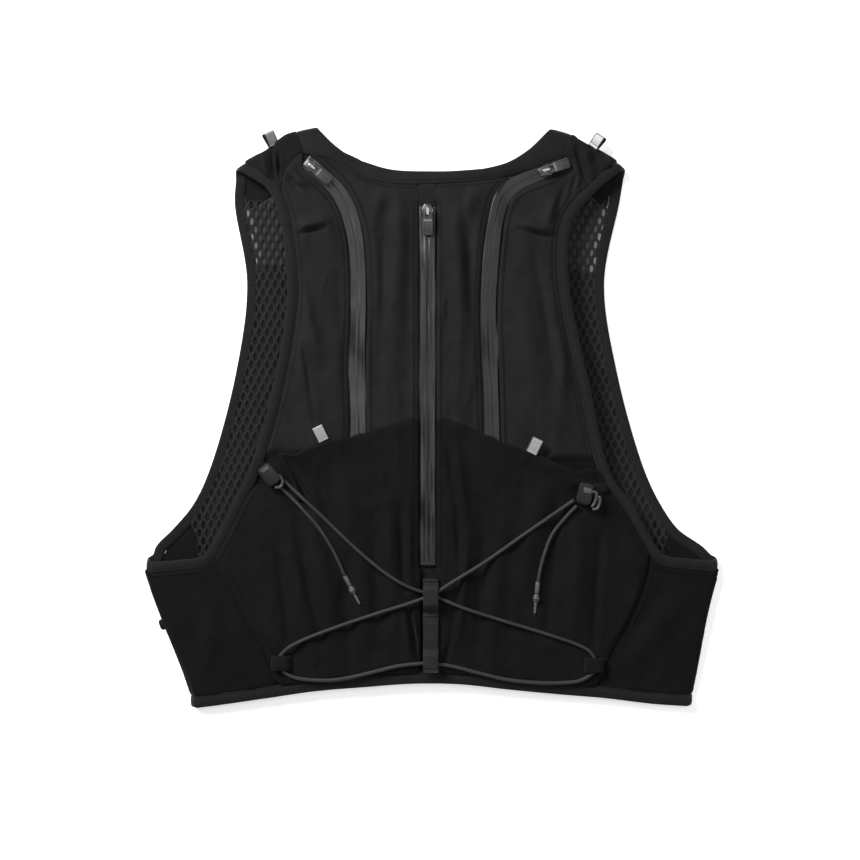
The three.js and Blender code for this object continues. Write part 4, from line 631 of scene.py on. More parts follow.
def soft_panel(node_names, name, folds, seams, levels=3, swell=0.0, seed=1.0, edge_roll=0.5, creases=0.0,
               folded=(0.0, 0.0), mouth=None, pulls=(), allowance=seam_allowance):
    """One smooth cloth mesh over one or more solids; folds and rolled edges are added to its height."""
    bm = bmesh.new()
    for node_name in node_names:
        bm.from_mesh(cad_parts[node_name].data)
    bmesh.ops.remove_doubles(bm, verts=bm.verts, dist=1e-6)
    bmesh.ops.join_triangles(bm, faces=bm.faces, angle_face_threshold=math.radians(50),
                             angle_shape_threshold=math.radians(120))
    mesh = bpy.data.meshes.new(name)
    bm.to_mesh(mesh)
    bm.free()
    obj = bpy.data.objects.new(name, mesh)
    bpy.context.scene.collection.objects.link(obj)
    for kind, depth in (("SIMPLE", 1), ("CATMULL_CLARK", levels - 1)):
        smoothing = obj.modifiers.new(kind.lower(), "SUBSURF")
        smoothing.subdivision_type = kind
        smoothing.levels = depth
        smoothing.render_levels = depth
    shaped = bpy.data.meshes.new_from_object(obj.evaluated_get(bpy.context.evaluated_depsgraph_get()))
    shaped.name = name
    obj.modifiers.clear()
    obj.data = shaped
    bpy.data.meshes.remove(mesh)
    flat = np.empty(len(shaped.vertices) * 3)
    shaped.vertices.foreach_get("co", flat)
    p = flat.reshape(-1, 3) / mm
    x, y = p[:, 0], p[:, 1]
    high = np.clip((p[:, 2] - 4) / 4, 0, 1)
    rise = fold_rise(folds, x, y) + 0.35 * rumple(x, y, 55, seed) + 0.16 * rumple(x, y, 17, seed + 2)
    if creases:
        rise += creases * (crumple(x, y, 22, 60, seed) + 0.45 * crumple(x, y, 9, 24, seed + 5))
    on_back_body = node_names[0].startswith(("back_centre", "back_outer"))
    lined = under_pocket(x, y) if on_back_body else np.zeros(len(p))
    rise *= 1 - lined
    far = np.full(len(p), 50.0)
    for line in seams:
        far = np.minimum(far, away_from(line, x, y)[0])
    rise *= 1 - np.exp(-(far / 5) ** 2)
    rise -= edge_roll * np.exp(-(far / 1.4) ** 2)
    rise += swell * (1 - np.exp(-(far / 14) ** 2))
    p[:, 2] += high * (rise - 2.4 * lined)
    facing = np.empty(len(p) * 3)
    shaped.vertices.foreach_get("normal", facing)
    facing = facing.reshape(-1, 3)
    rim = np.clip((0.75 - np.abs(facing[:, 2])) * 4, 0, 1) * (facing[:, :2] @ folded < 0.92)
    by_zip = np.min([away_from(line, x, y)[0] for line in zip_edges], axis=0) < 3
    grown = np.where(by_zip, zip_allowance, allowance)
    p[:, :2] += facing[:, :2] * (rim * grown)[:, None]
    p[:, 2] -= rim * 0.35
    if pulls:
        far_in, along_it, _ = away_from(mouth, x, y)
        fade = np.exp(-(far_in / mouth_reach) ** 2)
        marks = np.array(pulls, float)
        for axis in range(3):
            p[:, axis] += fade * np.interp(along_it, marks[:, 0], marks[:, axis + 1])
    shaped.vertices.foreach_set("co", (p * mm).ravel())
    # The in_pocket mark feeds painted shade: the weave darkens the cloth inside the pockets by it. The
    # seam_far mark feeds the seam groove's bump and its painted shade.
    for mark_name, values in (("seam_far", far), ("in_pocket", lined)):
        mark = shaped.attributes.new(mark_name, "FLOAT", "POINT")
        mark.data.foreach_set("value", values)
    for face in shaped.polygons:
        face.use_smooth = True
    for node_name in node_names:
        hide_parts(node_name)
    return obj


pocket_mouth = {
    "left": smooth_line(place([(-0.610, 0.386), (-0.550, 0.388), (-0.505, 0.412), (-0.420, 0.450),
                               (-0.289, 0.465), (-0.165, 0.484), (-0.060, 0.503)]), 120),
    "right": smooth_line(place([(0.588, 0.408), (0.520, 0.416), (0.451, 0.423), (0.310, 0.444),
                                (0.144, 0.480), (0.028, 0.501)]), 120),
}
shoulder_out = {"left": (-0.47, 0.88, 0), "right": (0.57, 0.82, 0)}
underarm_out = {"left": (-1, 0, 0), "right": (1, 0, 0)}
panel_seams = zip_edges + [armhole_seam["left"], armhole_seam["right"], neck_seam]


pocket_lining_top = place([(-0.66, 0.440), (-0.52, 0.446), (-0.44, 0.446), (-0.36, 0.450), (-0.289, 0.458),
                           (-0.165, 0.477), (-0.060, 0.496), (0.028, 0.494), (0.144, 0.473), (0.310, 0.437),
                           (0.400, 0.430), (0.450, 0.437), (0.560, 0.437), (0.620, 0.420)])


def under_pocket(x, y):
    """How far a place lies inside the pockets, from 0 just above their mouths to 1 well below."""
    top = np.interp(x, pocket_lining_top[:, 0], pocket_lining_top[:, 1])
    return np.clip((top - y) / 5, 0, 1)


for side, seed in (("left", 1.3), ("right", 4.1)):
    centre = soft_panel([f"back_centre_{side}"], f"centre_panel_{side}", panel_folds, panel_seams, 3, 0.8,
                        seed, creases=0.95)
    dress(centre, stretch_cloth)
    outer = soft_panel([f"back_outer_{side}"], f"outer_panel_{side}", panel_folds,
                       panel_seams + [side_seam[side]], 3, 0.9, seed + 1, creases=0.8)
    dress(outer, stretch_cloth)
    flank = soft_panel([f"side_panel_{side}"], f"side_panel_cloth_{side}", side_folds,
                       [side_seam[side], armhole_seam[side]], 3, 0.4, seed + 2, creases=0.4,
                       folded=underarm_out[side][:2])
    dress(flank, side_cloth)
    yoke = soft_panel([f"shoulder_yoke_{side}"], f"shoulder_cloth_{side}", panel_folds, [], 3, 0.0, seed + 3,
                      creases=0.3, folded=shoulder_out[side][:2])
    dress(yoke, yoke_cloth)
    pocket = soft_panel([f"back_pocket_{side}"], f"pocket_{side}", pocket_folds,
                        [zip_edges[4], zip_edges[5], side_seam[side], armhole_seam[side]], 4, 0.6, seed + 4,
                        creases=0.7, mouth=pocket_mouth[side], pulls=mouth_pulls[side])
    dress(pocket, pocket_cloth)
    lining = soft_panel([f"front_pocket_{side}"], f"front_lining_{side}", [], [], 2, allowance=5.0)
    dress(lining, lining_cloth)
for node_name in ("back_centre_strip", "back_centre_top"):
    strip = soft_panel([node_name], f"{node_name}_cloth", panel_folds, zip_edges[4:], 3)
    dress(strip, stretch_cloth if node_name.endswith("top") else pocket_cloth)


# Seam tapes, hidden but for slits: plain strips under the neck seam and down the middle of the back.
def tape_under(name, line, width, drop):
    middle = np.column_stack([line[:, :2], np.zeros(len(line))])
    _, side, _ = frames_of(middle)

    def shape(s, t):
        points = along(middle[:, :2], t) + along(side[:, :2], t) * ((s - 0.5) * width)[:, None]
        return np.column_stack([points, back_rise(points[:, 0], points[:, 1]) - drop])

    tape = grid_piece(name, 8, 120, shape)
    wall = tape.modifiers.new("wall", "SOLIDIFY")
    wall.thickness = 0.5 * mm
    return tape


neck_tape = tape_under("neck_seam_tape", smooth_line(place(neck_seam_rows), 120), 16, 1.9)
dress(neck_tape, yoke_cloth)
middle_line = np.column_stack([np.full(2, centre_zip_x), place([(0, 0.060), (0, 0.910)])[:, 1]])
dress(tape_under("middle_seam_tape", middle_line, 26, 2.4), yoke_cloth)


# Zips. Each is a reverse coil zip under a satin water-resistant laminate: a dark line down the middle
# where the two halves meet, a low ridge on each side of it and soft waves where the tape isn't held.
def zip_material(name, ridge, gloss):
    """Satin laminate; ridge is how plainly the coil and the line where the halves meet show through."""
    material = bpy.data.materials.new(name)
    material.use_nodes = True
    tree = material.node_tree
    shader = tree.nodes["Principled BSDF"]
    uv = tree.nodes.new("ShaderNodeUVMap")
    uv.uv_map = "cloth"
    split = tree.nodes.new("ShaderNodeSeparateXYZ")
    tree.links.new(uv.outputs["UV"], split.inputs["Vector"])
    from_middle = maths(tree, "ABSOLUTE", maths(tree, "DIVIDE", split.outputs["X"], mm))
    meeting = maths(tree, "MULTIPLY", maths(tree, "LESS_THAN", from_middle, 0.28), ridge)
    teeth = maths(tree, "SINE", maths(tree, "MULTIPLY", split.outputs["Y"], 2 * math.pi / (1.6 * mm)))
    off_coil = maths(tree, "ABSOLUTE", maths(tree, "SUBTRACT", from_middle, 1.7))
    teeth = maths(tree, "MULTIPLY", teeth, maths(tree, "LESS_THAN", off_coil, 1.0))
    cloud = tree.nodes.new("ShaderNodeTexNoise")
    cloud.inputs["Scale"].default_value = 26
    cloud.inputs["Detail"].default_value = 2
    place_in = tree.nodes.new("ShaderNodeTexCoord")
    tree.links.new(place_in.outputs["Object"], cloud.inputs["Vector"])
    height = maths(tree, "ADD", maths(tree, "MULTIPLY", teeth, 0.12 * ridge),
                   maths(tree, "MULTIPLY", cloud.outputs["Fac"], 4.0))
    bump = tree.nodes.new("ShaderNodeBump")
    bump.inputs["Distance"].default_value = 0.0005
    bump.inputs["Strength"].default_value = 0.6
    tree.links.new(height, bump.inputs["Height"])
    tree.links.new(bump.outputs["Normal"], shader.inputs["Normal"])
    mix = tree.nodes.new("ShaderNodeMixRGB")
    mix.inputs["Color1"].default_value = (0.0042, 0.0042, 0.0047, 1)
    mix.inputs["Color2"].default_value = (0.003, 0.003, 0.003, 1)
    tree.links.new(meeting, mix.inputs["Fac"])
    tree.links.new(mix.outputs["Color"], shader.inputs["Base Color"])
    rough = maths(tree, "ADD", maths(tree, "MULTIPLY", cloud.outputs["Fac"], 0.45), 0.13)
    tree.links.new(rough, shader.inputs["Roughness"])
    shader.inputs["Specular IOR Level"].default_value = gloss
    return material


def unit(v):
    return v / (np.linalg.norm(v, axis=1)[:, None] + 1e-12)


def zip_piece(name, line, seed, ridge):
    tucked = [line[k] + (line[k] - line[n]) / np.linalg.norm(line[k, :2] - line[n, :2]) * 2.5
              for k, n in ((0, 1), (-1, -2))]
    ends = [(tucked[0][:2], unit((line[0] - line[1])[None, :2])[0]),
            (tucked[1][:2], unit((line[-1] - line[-2])[None, :2])[0])]
    line = spaced(np.vstack([tucked[0], line, tucked[1]]), len(line))
    middle = line[:, :2]
    _, side, _ = frames_of(np.column_stack([middle, np.zeros(len(middle))]))
    run = lengths(middle)[-1]

    def shape(s, t):
        off = (s - 0.5) * 2 * (zip_half + 1.6)
        points = along(middle, t) + along(side[:, :2], t) * (off * along(line[:, 2:3], t)[:, 0])[:, None]
        far = np.abs(off)
        open_part = np.clip((zip_half + 0.4 - far) / 1.4, 0, 1)
        bow = ridge * (0.35 * np.exp(-((far - 1.7) / 1.0) ** 2) - 0.55 * np.exp(-(far / 0.32) ** 2))
        wave = 0.95 * np.sin(t * run / 13.5 + seed) * np.sin(t * run / 31 + 2 * seed)
        wave = wave * (1 - (far / 8.5) ** 2)
        tilt = off * (0.10 * np.sin(t * run / 19 + seed * 2.2) + 0.05 * np.sin(t * run / 8 + seed))
        held = np.clip(np.minimum(t, 1 - t) * run / 9 - 0.3, 0, 1)
        loose = 0.6 + held * (0.6 + bow + wave + tilt)
        z = back_rise(points[:, 0], points[:, 1]) - 1.7 + open_part * loose
        return np.column_stack([points, z, off, t * run])

    tape = grid_piece(name, 36, int(run / 1.5), shape)
    for face in tape.data.polygons:
        centre = np.array(face.center[:2]) / mm
        for end, outward in ends:
            off = centre - end
            if abs(off @ outward) < 6.5 and off @ off < 150:
                face.material_index = 1
    wall = tape.modifiers.new("wall", "SOLIDIFY")
    wall.thickness = 0.8 * mm
    wall.offset = -1
    return tape


# Painted shade: the left and right zips are the same laminate, but the right one is given less gloss so that
# it reads darker.
zip_looks = (("left", 0.4, 0.25, 0.38), ("right", 2.0, 0.25, 0.26), ("centre", 3.3, 0.7, 0.32))
for name, seed, ridge, gloss in zip_looks:
    laminate = zip_material(f"zip_laminate_{name}", ridge, gloss)
    tape = dress(zip_piece(f"zip_{name}", zip_middle[name], seed, ridge), laminate)
    tape.data.materials.append(yoke_cloth)
    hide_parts(f"zip_tape_{name}")


# Bindings. Folded elastic tape closes every cloth edge: a soft half-round roll outside, a stitched
# valley inside and fine ribs across, along the armholes, the neck, the hem and the front opening.
def ribbed_material(name, colour, rib=0.9, gloss=0.18):
    material = bpy.data.materials.new(name)
    material.use_nodes = True
    tree = material.node_tree
    shader = tree.nodes["Principled BSDF"]
    uv = tree.nodes.new("ShaderNodeUVMap")
    uv.uv_map = "cloth"
    split = tree.nodes.new("ShaderNodeSeparateXYZ")
    tree.links.new(uv.outputs["UV"], split.inputs["Vector"])
    ribs = maths(tree, "SINE", maths(tree, "MULTIPLY", split.outputs["Y"], 2 * math.pi / (rib * mm)))
    lines = maths(tree, "SINE", maths(tree, "MULTIPLY", split.outputs["X"], 2 * math.pi / (0.7 * mm)))
    height = maths(tree, "ADD", maths(tree, "MULTIPLY", ribs, 0.6), maths(tree, "MULTIPLY", lines, 0.25))
    bump = tree.nodes.new("ShaderNodeBump")
    bump.inputs["Distance"].default_value = 0.00018
    bump.inputs["Strength"].default_value = 0.7
    tree.links.new(height, bump.inputs["Height"])
    tree.links.new(bump.outputs["Normal"], shader.inputs["Normal"])
    cloud = tree.nodes.new("ShaderNodeTexNoise")
    cloud.inputs["Scale"].default_value = 90
    place_in = tree.nodes.new("ShaderNodeTexCoord")
    tree.links.new(place_in.outputs["Object"], cloud.inputs["Vector"])
    shade = maths(tree, "ADD", maths(tree, "MULTIPLY", cloud.outputs["Fac"], 0.5), 0.75)
    shade = maths(tree, "MULTIPLY", shade, maths(tree, "ADD", maths(tree, "MULTIPLY", ribs, 0.12), 1.0))
    tint = tree.nodes.new("ShaderNodeVectorMath")
    tint.operation = "SCALE"
    tint.inputs[0].default_value = colour
    tree.links.new(shade, tint.inputs["Scale"])
    tree.links.new(tint.outputs["Vector"], shader.inputs["Base Color"])
    shader.inputs["Roughness"].default_value = 0.62
    shader.inputs["Specular IOR Level"].default_value = gloss
    shader.inputs["Sheen Weight"].default_value = 0.06
    return material


binding_tape = ribbed_material("binding_tape", (0.0062, 0.0062, 0.0066), gloss=0.10)
mesh_binding = ribbed_material("mesh_binding", (0.0100, 0.0100, 0.0105), rib=1.1, gloss=0.12)


def band_piece(name, edge, inner, normal, wall=2.0, sides=20, ripple=0.10, step=1.4):
    """A flat roll of tape between two rails, its outer face on them; normal points out of that face."""
    run = np.concatenate([[0], np.cumsum(np.linalg.norm(np.diff(edge, axis=0), axis=1))])
    width = np.linalg.norm(inner - edge, axis=1)
    across = (inner - edge) / (width[:, None] + 1e-9)

    def shape(s, t):
        angle = s * 2 * np.pi
        c, d = np.cos(angle), np.sin(angle)
        w = along(width[:, None], t)[:, 0]
        off = (1 - np.sign(c) * np.abs(c) ** 0.7) / 2 * w
        thick = np.sign(d) * np.abs(d) ** 0.5 * wall / 2
        outside = np.clip(d * 3, 0, 1)
        valley = np.exp(-((off - w + 1.6) / 0.6) ** 2) * 0.5
        length = along(run[:, None], t)[:, 0]
        wave = ripple * np.sin(length / 4.3 + np.sin(length / 17) * 2) * np.sin(length / 29)
        rise = thick - wall / 2 + outside * (0.2 * np.sin(np.pi * off / w) - valley + wave)
        points = along(edge, t) + along(across, t) * off[:, None] + along(normal, t) * rise[:, None]
        girth = np.where(d >= 0, off, 2 * w - off)
        return np.column_stack([points, girth, length])

    return grid_piece(name, sides, max(12, int(run[-1] / step)), shape, closed=True)


def even(path, count):
    """A path of points and normals, spaced evenly in three dimensions."""
    run = np.concatenate([[0], np.cumsum(np.linalg.norm(np.diff(path[:, :3], axis=0), axis=1))])
    marks = np.linspace(0, run[-1], count)
    return np.column_stack([np.interp(marks, run, path[:, k]) for k in range(path.shape[1])])


def on_back(line, proud=0.4):
    """A flat line lifted to the back's face, with upward normals."""
    x, y = line[:, 0], line[:, 1]
    up = np.tile([0.0, 0.0, 1.0], (len(line), 1))
    return np.column_stack([x, y, back_rise(x, y) + proud, up])


def on_floor(line):
    down = np.tile([0.0, 0.0, -1.0], (len(line), 1))
    return np.column_stack([line[:, :2], np.zeros(len(line)), down])


def fold_over(start, end, outward, count=24):
    """Half turn from a place on the back to one on the floor, bulging outward."""
    share = np.linspace(0, 1, count + 2)[1:-1]
    angle = np.pi * (0.5 - share)
    radius = start[2] / 2
    points = start[:3] + (end[:3] - start[:3]) * share[:, None]
    points[:, 2] = radius + radius * np.sin(angle)
    points += np.outer(radius * np.cos(angle), outward)
    normals = np.outer(np.cos(angle), outward) + np.outer(np.sin(angle), [0, 0, 1])
    return np.column_stack([points, normals])


def inner_rail(path, width, ring):
    """The rail beside a path, turned flat and eased round the sharp bends of the folds."""
    ends = 6 if ring else 0
    points = np.vstack([path[-ends - 1:-1], path, path[1:ends + 1]])[:, :3] if ring else path[:, :3]
    step = np.gradient(points, axis=0)
    normals = (np.vstack([path[-ends - 1:-1], path, path[1:ends + 1]]) if ring else path)[:, 3:6]
    side = np.cross(step, normals)
    side[:, 2] = 0
    side /= np.linalg.norm(side, axis=1)[:, None] + 1e-9
    for _ in range(5):
        side[1:-1] = (side[:-2] + 2 * side[1:-1] + side[2:]) / 4
    side /= np.linalg.norm(side, axis=1)[:, None] + 1e-9
    side = side[ends:len(side) - ends] if ring else side
    return path[:, :3] + side * width


# Armhole bindings: one closed ring each, up the back edge, over the shoulder, down the front edge on
# the floor and round the underarm fold.
front_armhole = {
    "left": [(-0.690, 0.910), (-0.694, 0.866), (-0.651, 0.731), (-0.690, 0.577), (-0.782, 0.411),
             (-0.842, 0.349), (-0.912, 0.308), (-0.970, 0.279), (-0.981, 0.264)],
    "right": [(0.674, 0.911), (0.658, 0.866), (0.606, 0.731), (0.651, 0.577), (0.746, 0.411),
              (0.806, 0.349), (0.866, 0.308), (0.950, 0.279), (0.981, 0.264)],
}
front_edge_line = {side: smooth_line(place(rows), 200) for side, rows in front_armhole.items()}
for side, sign in (("left", 1), ("right", -1)):
    back_part = on_back(armhole_edge[side])
    front_part = on_floor(front_edge_line[side])
    over = fold_over(back_part[-1], front_part[0], np.array(shoulder_out[side]))
    under = fold_over(back_part[0], front_part[-1], np.array(underarm_out[side]))[::-1]
    ring = even(np.vstack([back_part, over, front_part, under, back_part[:1]]), 640)
    inner = inner_rail(ring, sign * binding_width, True)
    band = band_piece(f"armhole_binding_{side}", ring[:, :3], inner, ring[:, 3:6])
    dress(band, binding_tape)
    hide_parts(f"armhole_band_{side}")


# Neck binding: a wider tape from one front neck edge over both shoulders to the other, and the hem
# binding round the bottom edge, open at the middle of the front.
neck_edge_rows = [(-0.395, 0.9925), (-0.350, 0.970), (-0.289, 0.948), (-0.222, 0.935), (-0.141, 0.924),
                  (0, 0.921), (0.134, 0.923), (0.204, 0.928), (0.271, 0.938), (0.342, 0.960),
                  (0.405, 0.990)]
neck_full_seam = [(-0.470, 0.984)] + neck_seam_rows + [(0.481, 0.978)]
front_neck = {
    "left": ([(-0.392, 0.982), (-0.380, 0.950), (-0.365, 0.915)],
             [(-0.465, 0.974), (-0.457, 0.945), (-0.440, 0.915)]),
    "right": ([(0.402, 0.980), (0.390, 0.950), (0.370, 0.915)],
              [(0.476, 0.971), (0.466, 0.945), (0.445, 0.915)]),
}


def neck_rail(back_rows, pick):
    back_part = on_back(smooth_line(place(back_rows), 120))
    ends = {side: on_floor(smooth_line(place(front_neck[side][pick]), 16)) for side in front_neck}
    turns = {side: fold_over(back_part[k], ends[side][0], np.array(shoulder_out[side]), 12)
             for side, k in (("left", 0), ("right", -1))}
    return np.vstack([ends["left"][::-1], turns["left"][::-1], back_part, turns["right"], ends["right"]])


neck_edge, neck_inner = neck_rail(neck_edge_rows, 0), neck_rail(neck_full_seam, 1)
neck_inner[:, :3] += unit(neck_inner[:, :3] - neck_edge[:, :3]) * seam_allowance
neck_binding = dress(band_piece("neck_binding", neck_edge[:, :3], neck_inner[:, :3], neck_edge[:, 3:6]),
                     binding_tape)
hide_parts("neck_band")

hem_rows = [(-0.826, 0.002), (-0.746, 0.007), (-0.577, 0.019), (-0.408, 0.031), (-0.239, 0.038),
            (-0.070, 0.044), (0.099, 0.043), (0.268, 0.034), (0.437, 0.026), (0.606, 0.019),
            (0.775, 0.009), (0.893, 0.005)]
front_gap = 50.0
front_hem = {"left": [(-0.826, 0.008), (-0.577, 0.026), (-0.300, 0.042), (-0.150, 0.050)],
             "right": [(0.893, 0.011), (0.606, 0.026), (0.300, 0.042), (0.150, 0.050)]}
hem_width = 9.0
hem_back = on_back(smooth_line(place(hem_rows), 260))
hem_front = {}
for side, sign in (("left", -1), ("right", 1)):
    points = place(front_hem[side])
    points[-1, 0] = sign * front_gap / 2 + box_shift[0]
    hem_front[side] = on_floor(smooth_line(points, 90))
hem_path = np.vstack([
    hem_front["left"][::-1],
    fold_over(hem_back[0], hem_front["left"][0], np.array(underarm_out["left"]))[::-1], hem_back,
    fold_over(hem_back[-1], hem_front["right"][0], np.array(underarm_out["right"])), hem_front["right"],
])
hem_path = even(hem_path, 520)
hem = band_piece("hem_binding", hem_path[:, :3], inner_rail(hem_path, -hem_width, False), hem_path[:, 3:6],
                 wall=2.2, ripple=0.2)
dress(hem, binding_tape)
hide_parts("hem_band")


# The front halves, face down on the floor: their inner edges bound with the same tape, the chest strap
# between them, and a large-holed net whose lower part is backed with plain cloth.
front_edge_rows = [(0.362, 0.906, 0), (0.335, 0.800, 0), (0.270, 0.660, 0), (0.180, 0.520, 0),
                   (0, 0.420, 1), (0, 0.340, 1), (0, 0.200, 1), (0, 0.050, 1)]
front_inner = {}
for side, sign in (("left", -1), ("right", 1)):
    rows = [(sign * (u if not beside_gap else front_gap / 2 / half_width), v)
            for u, v, beside_gap in front_edge_rows]
    front_inner[side] = smooth_line(place(rows), 200)
    path = on_floor(front_inner[side])
    edge_band = band_piece(f"front_edge_{side}", path[:, :3], inner_rail(path, sign * binding_width, False),
                           path[:, 3:6], ripple=0.0)
    dress(edge_band, mesh_binding)
    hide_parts(f"front_edge_band_{side}")

net_across, net_tall, net_low, net_wall, strand = 6.0, 12.0, 1.7, 0.6, 1.25
front_side_seam = {"left": [(-0.730, 0.036), (-0.790, 0.180), (-0.832, 0.315)],
                   "right": [(0.760, 0.036), (0.800, 0.180), (0.830, 0.310)]}


def inside(x, y, outline):
    """Whether each place lies inside a closed outline."""
    hit = np.zeros(x.shape, bool)
    for (ax, ay), (bx, by) in zip(outline, np.roll(outline, -1, axis=0)):
        crosses = (ay > y) != (by > y)
        hit ^= crosses & (x < ax + (y - ay) * (bx - ax) / (by - ay + 1e-12))
    return hit


def net_piece(name, outline):
    low, high = outline.min(axis=0), outline.max(axis=0)
    reach = int(max(high - low) / net_across) + 6
    bm = bmesh.new()
    bmesh.ops.create_grid(bm, x_segments=2 * reach, y_segments=2 * reach, size=reach)
    bmesh.ops.rotate(bm, verts=bm.verts, cent=(0, 0, 0), matrix=Matrix.Rotation(math.radians(45), 3, "Z"))
    side_of_square = math.sqrt(2)
    bmesh.ops.scale(bm, verts=bm.verts, vec=(net_across * mm / side_of_square,
                                             net_tall * mm / side_of_square, 1))
    middle = Vector((*((low + high) / 2), net_low)) * mm
    bmesh.ops.translate(bm, verts=bm.verts, vec=middle)
    centres = np.array([face.calc_center_median()[:2] for face in bm.faces]) / mm
    kept = inside(centres[:, 0], centres[:, 1], outline)
    outside = [face for face, keep in zip(bm.faces, kept) if not keep]
    bmesh.ops.delete(bm, geom=outside, context="FACES")
    openings = list(bm.faces)
    bmesh.ops.inset_individual(bm, faces=openings, thickness=strand * mm / 2, use_even_offset=True)
    bmesh.ops.delete(bm, geom=openings, context="FACES")
    mesh = bpy.data.meshes.new(name)
    bm.to_mesh(mesh)
    bm.free()
    for face in mesh.polygons:
        face.use_smooth = True
    obj = bpy.data.objects.new(name, mesh)
    bpy.context.scene.collection.objects.link(obj)
    wall = obj.modifiers.new("wall", "SOLIDIFY")
    wall.thickness = net_wall * mm
    wall.offset = 0
    rounding = obj.modifiers.new("rounding", "SUBSURF")
    rounding.levels = 1
    rounding.render_levels = 1
    return obj


net_yarn = ribbed_material("net_yarn", (0.0080, 0.0080, 0.0084), rib=0.8, gloss=0.12)
for side, sign in (("left", 1), ("right", -1)):
    armhole_part = beside(front_edge_line[side], -sign * (binding_width - 3.5))
    seam_part = smooth_line(place(front_side_seam[side]), 40)
    armhole_part = armhole_part[(armhole_part[:, 1] > seam_part[-1, 1]) & (armhole_part[:, 1] < 164)]
    hem_part = hem_front[side][:, :2] + [0, hem_width - 3]
    hem_part = hem_part[np.abs(hem_part[:, 0]) < abs(seam_part[0, 0])]
    inner_part = beside(front_inner[side], -sign * (binding_width - 3))[::-1]
    inner_part = inner_part[inner_part[:, 1] < 160]
    outline = np.vstack([armhole_part[:, :2], seam_part[::-1, :2], hem_part, inner_part[:, :2]])
    net = dress(net_piece(f"net_{side}", outline), net_yarn)
    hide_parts(f"front_net_{side}")


# Sheer lining behind the open net of the shoulders, above the plain cloth: it dims the table that shows
# through the holes to a mid grey. Towards the armhole its colour is painted lighter, as painted light for
# the table there lying less in the vest's shadow.
sheer = bpy.data.materials.new("sheer_lining")
sheer.use_nodes = True
sheer_tree = sheer.node_tree
sheer_shader = sheer_tree.nodes["Principled BSDF"]
sheer_uv = sheer_tree.nodes.new("ShaderNodeUVMap")
sheer_uv.uv_map = "cloth"
sheer_split = sheer_tree.nodes.new("ShaderNodeSeparateXYZ")
sheer_tree.links.new(sheer_uv.outputs["UV"], sheer_split.inputs["Vector"])
# Painted light: the colour runs from light grey within 3 mm of the armhole edge to dark grey about 10 mm in.
sheer_painted_light_ramp = sheer_tree.nodes.new("ShaderNodeValToRGB")
sheer_painted_light_ramp.color_ramp.elements[0].position = 0.10
sheer_painted_light_ramp.color_ramp.elements[0].color = (0.17, 0.17, 0.175, 1)
sheer_painted_light_ramp.color_ramp.elements[1].position = 0.32
sheer_painted_light_ramp.color_ramp.elements[1].color = (0.034, 0.034, 0.036, 1)
sheer_share = maths(sheer_tree, "DIVIDE", sheer_split.outputs["X"], 30 * mm)
sheer_tree.links.new(sheer_share, sheer_painted_light_ramp.inputs["Fac"])
sheer_tree.links.new(sheer_painted_light_ramp.outputs["Color"], sheer_shader.inputs["Base Color"])
sheer_shader.inputs["Roughness"].default_value = 0.9
sheer_shader.inputs["Specular IOR Level"].default_value = 0.05
sheer_low, sheer_high = 108.0, 166.0


def x_along(line, y):
    order = np.argsort(line[:, 1])
    return np.interp(y, line[order, 1], line[order, 0])


for side, sign in (("left", -1), ("right", 1)):
    def sheer_shape(s, t, side=side, sign=sign):
        y = sheer_low + (sheer_high - sheer_low) * t
        outer = x_along(front_edge_line[side], y) - sign * 4.5
        inner = x_along(front_inner[side], y) + sign * 4.0
        x = outer + (inner - outer) * s
        z = 0.75 + 0.25 * rumple(x, y, 26, 2.0)
        return np.column_stack([x, y, z, np.abs(x - outer), y])

    veil = dress(grid_piece(f"sheer_lining_{side}", 30, 40, sheer_shape), sheer)
    wall = veil.modifiers.new("wall", "SOLIDIFY")
    wall.thickness = 0.3 * mm
    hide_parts(f"front_net_{side}")


# Small solid pieces. Each is drawn flat in its own frame, given its height and rounded edges, then
# turned and set down where its solid lies.
def prism(bm, outline, low, high, round_off=0.4, segments=2):
    """A flat outline raised from low to high, with rounded edges; returns its vertices."""
    first = [bm.verts.new((x * mm, y * mm, low * mm)) for x, y in outline]
    face = bm.faces.new(first)
    raised = bmesh.ops.extrude_face_region(bm, geom=[face])["geom"]
    top = [part for part in raised if isinstance(part, bmesh.types.BMVert)]
    bmesh.ops.translate(bm, verts=top, vec=(0, 0, (high - low) * mm))
    verts = first + top
    faces = {f for v in verts for f in v.link_faces}
    bmesh.ops.recalc_face_normals(bm, faces=list(faces))
    if round_off:
        edges = {e for v in verts for e in v.link_edges}
        made = bmesh.ops.bevel(bm, geom=list(edges), offset=round_off * mm, segments=segments, profile=0.5,
                               affect="EDGES", clamp_overlap=True, material=-1)
        verts = list({v for f in made["faces"] for v in f.verts} | {v for v in verts if v.is_valid})
    return verts


def arc(cx, cy, radius, start, stop, count):
    angles = np.radians(np.linspace(start, stop, count))
    return [(cx + radius * math.cos(a), cy + radius * math.sin(a)) for a in angles]


def rod(bm, route, size, sides=10):
    """A round bent rod through the route's points, with domed ends."""
    path = smooth_line(np.array(route), 4 * len(route) + 6)
    step, side, up = frames_of(path)
    rings = []
    for k, centre in enumerate(path):
        end = min(k, len(path) - 1 - k)
        radius = size / 2 * (0.6 if end == 0 else 1)
        ring = []
        for a in np.linspace(0, 2 * np.pi, sides, endpoint=False):
            spot = centre + (side[k] * math.cos(a) + up[k] * math.sin(a)) * radius
            ring.append(bm.verts.new(Vector(spot) * mm))
        rings.append([bm.edges.new((ring[n - 1], ring[n])) for n in range(sides)])
    for low, high in zip(rings, rings[1:]):
        bmesh.ops.bridge_loops(bm, edges=low + high)
    for rim in (rings[0], rings[-1]):
        bmesh.ops.holes_fill(bm, edges=rim, sides=0)


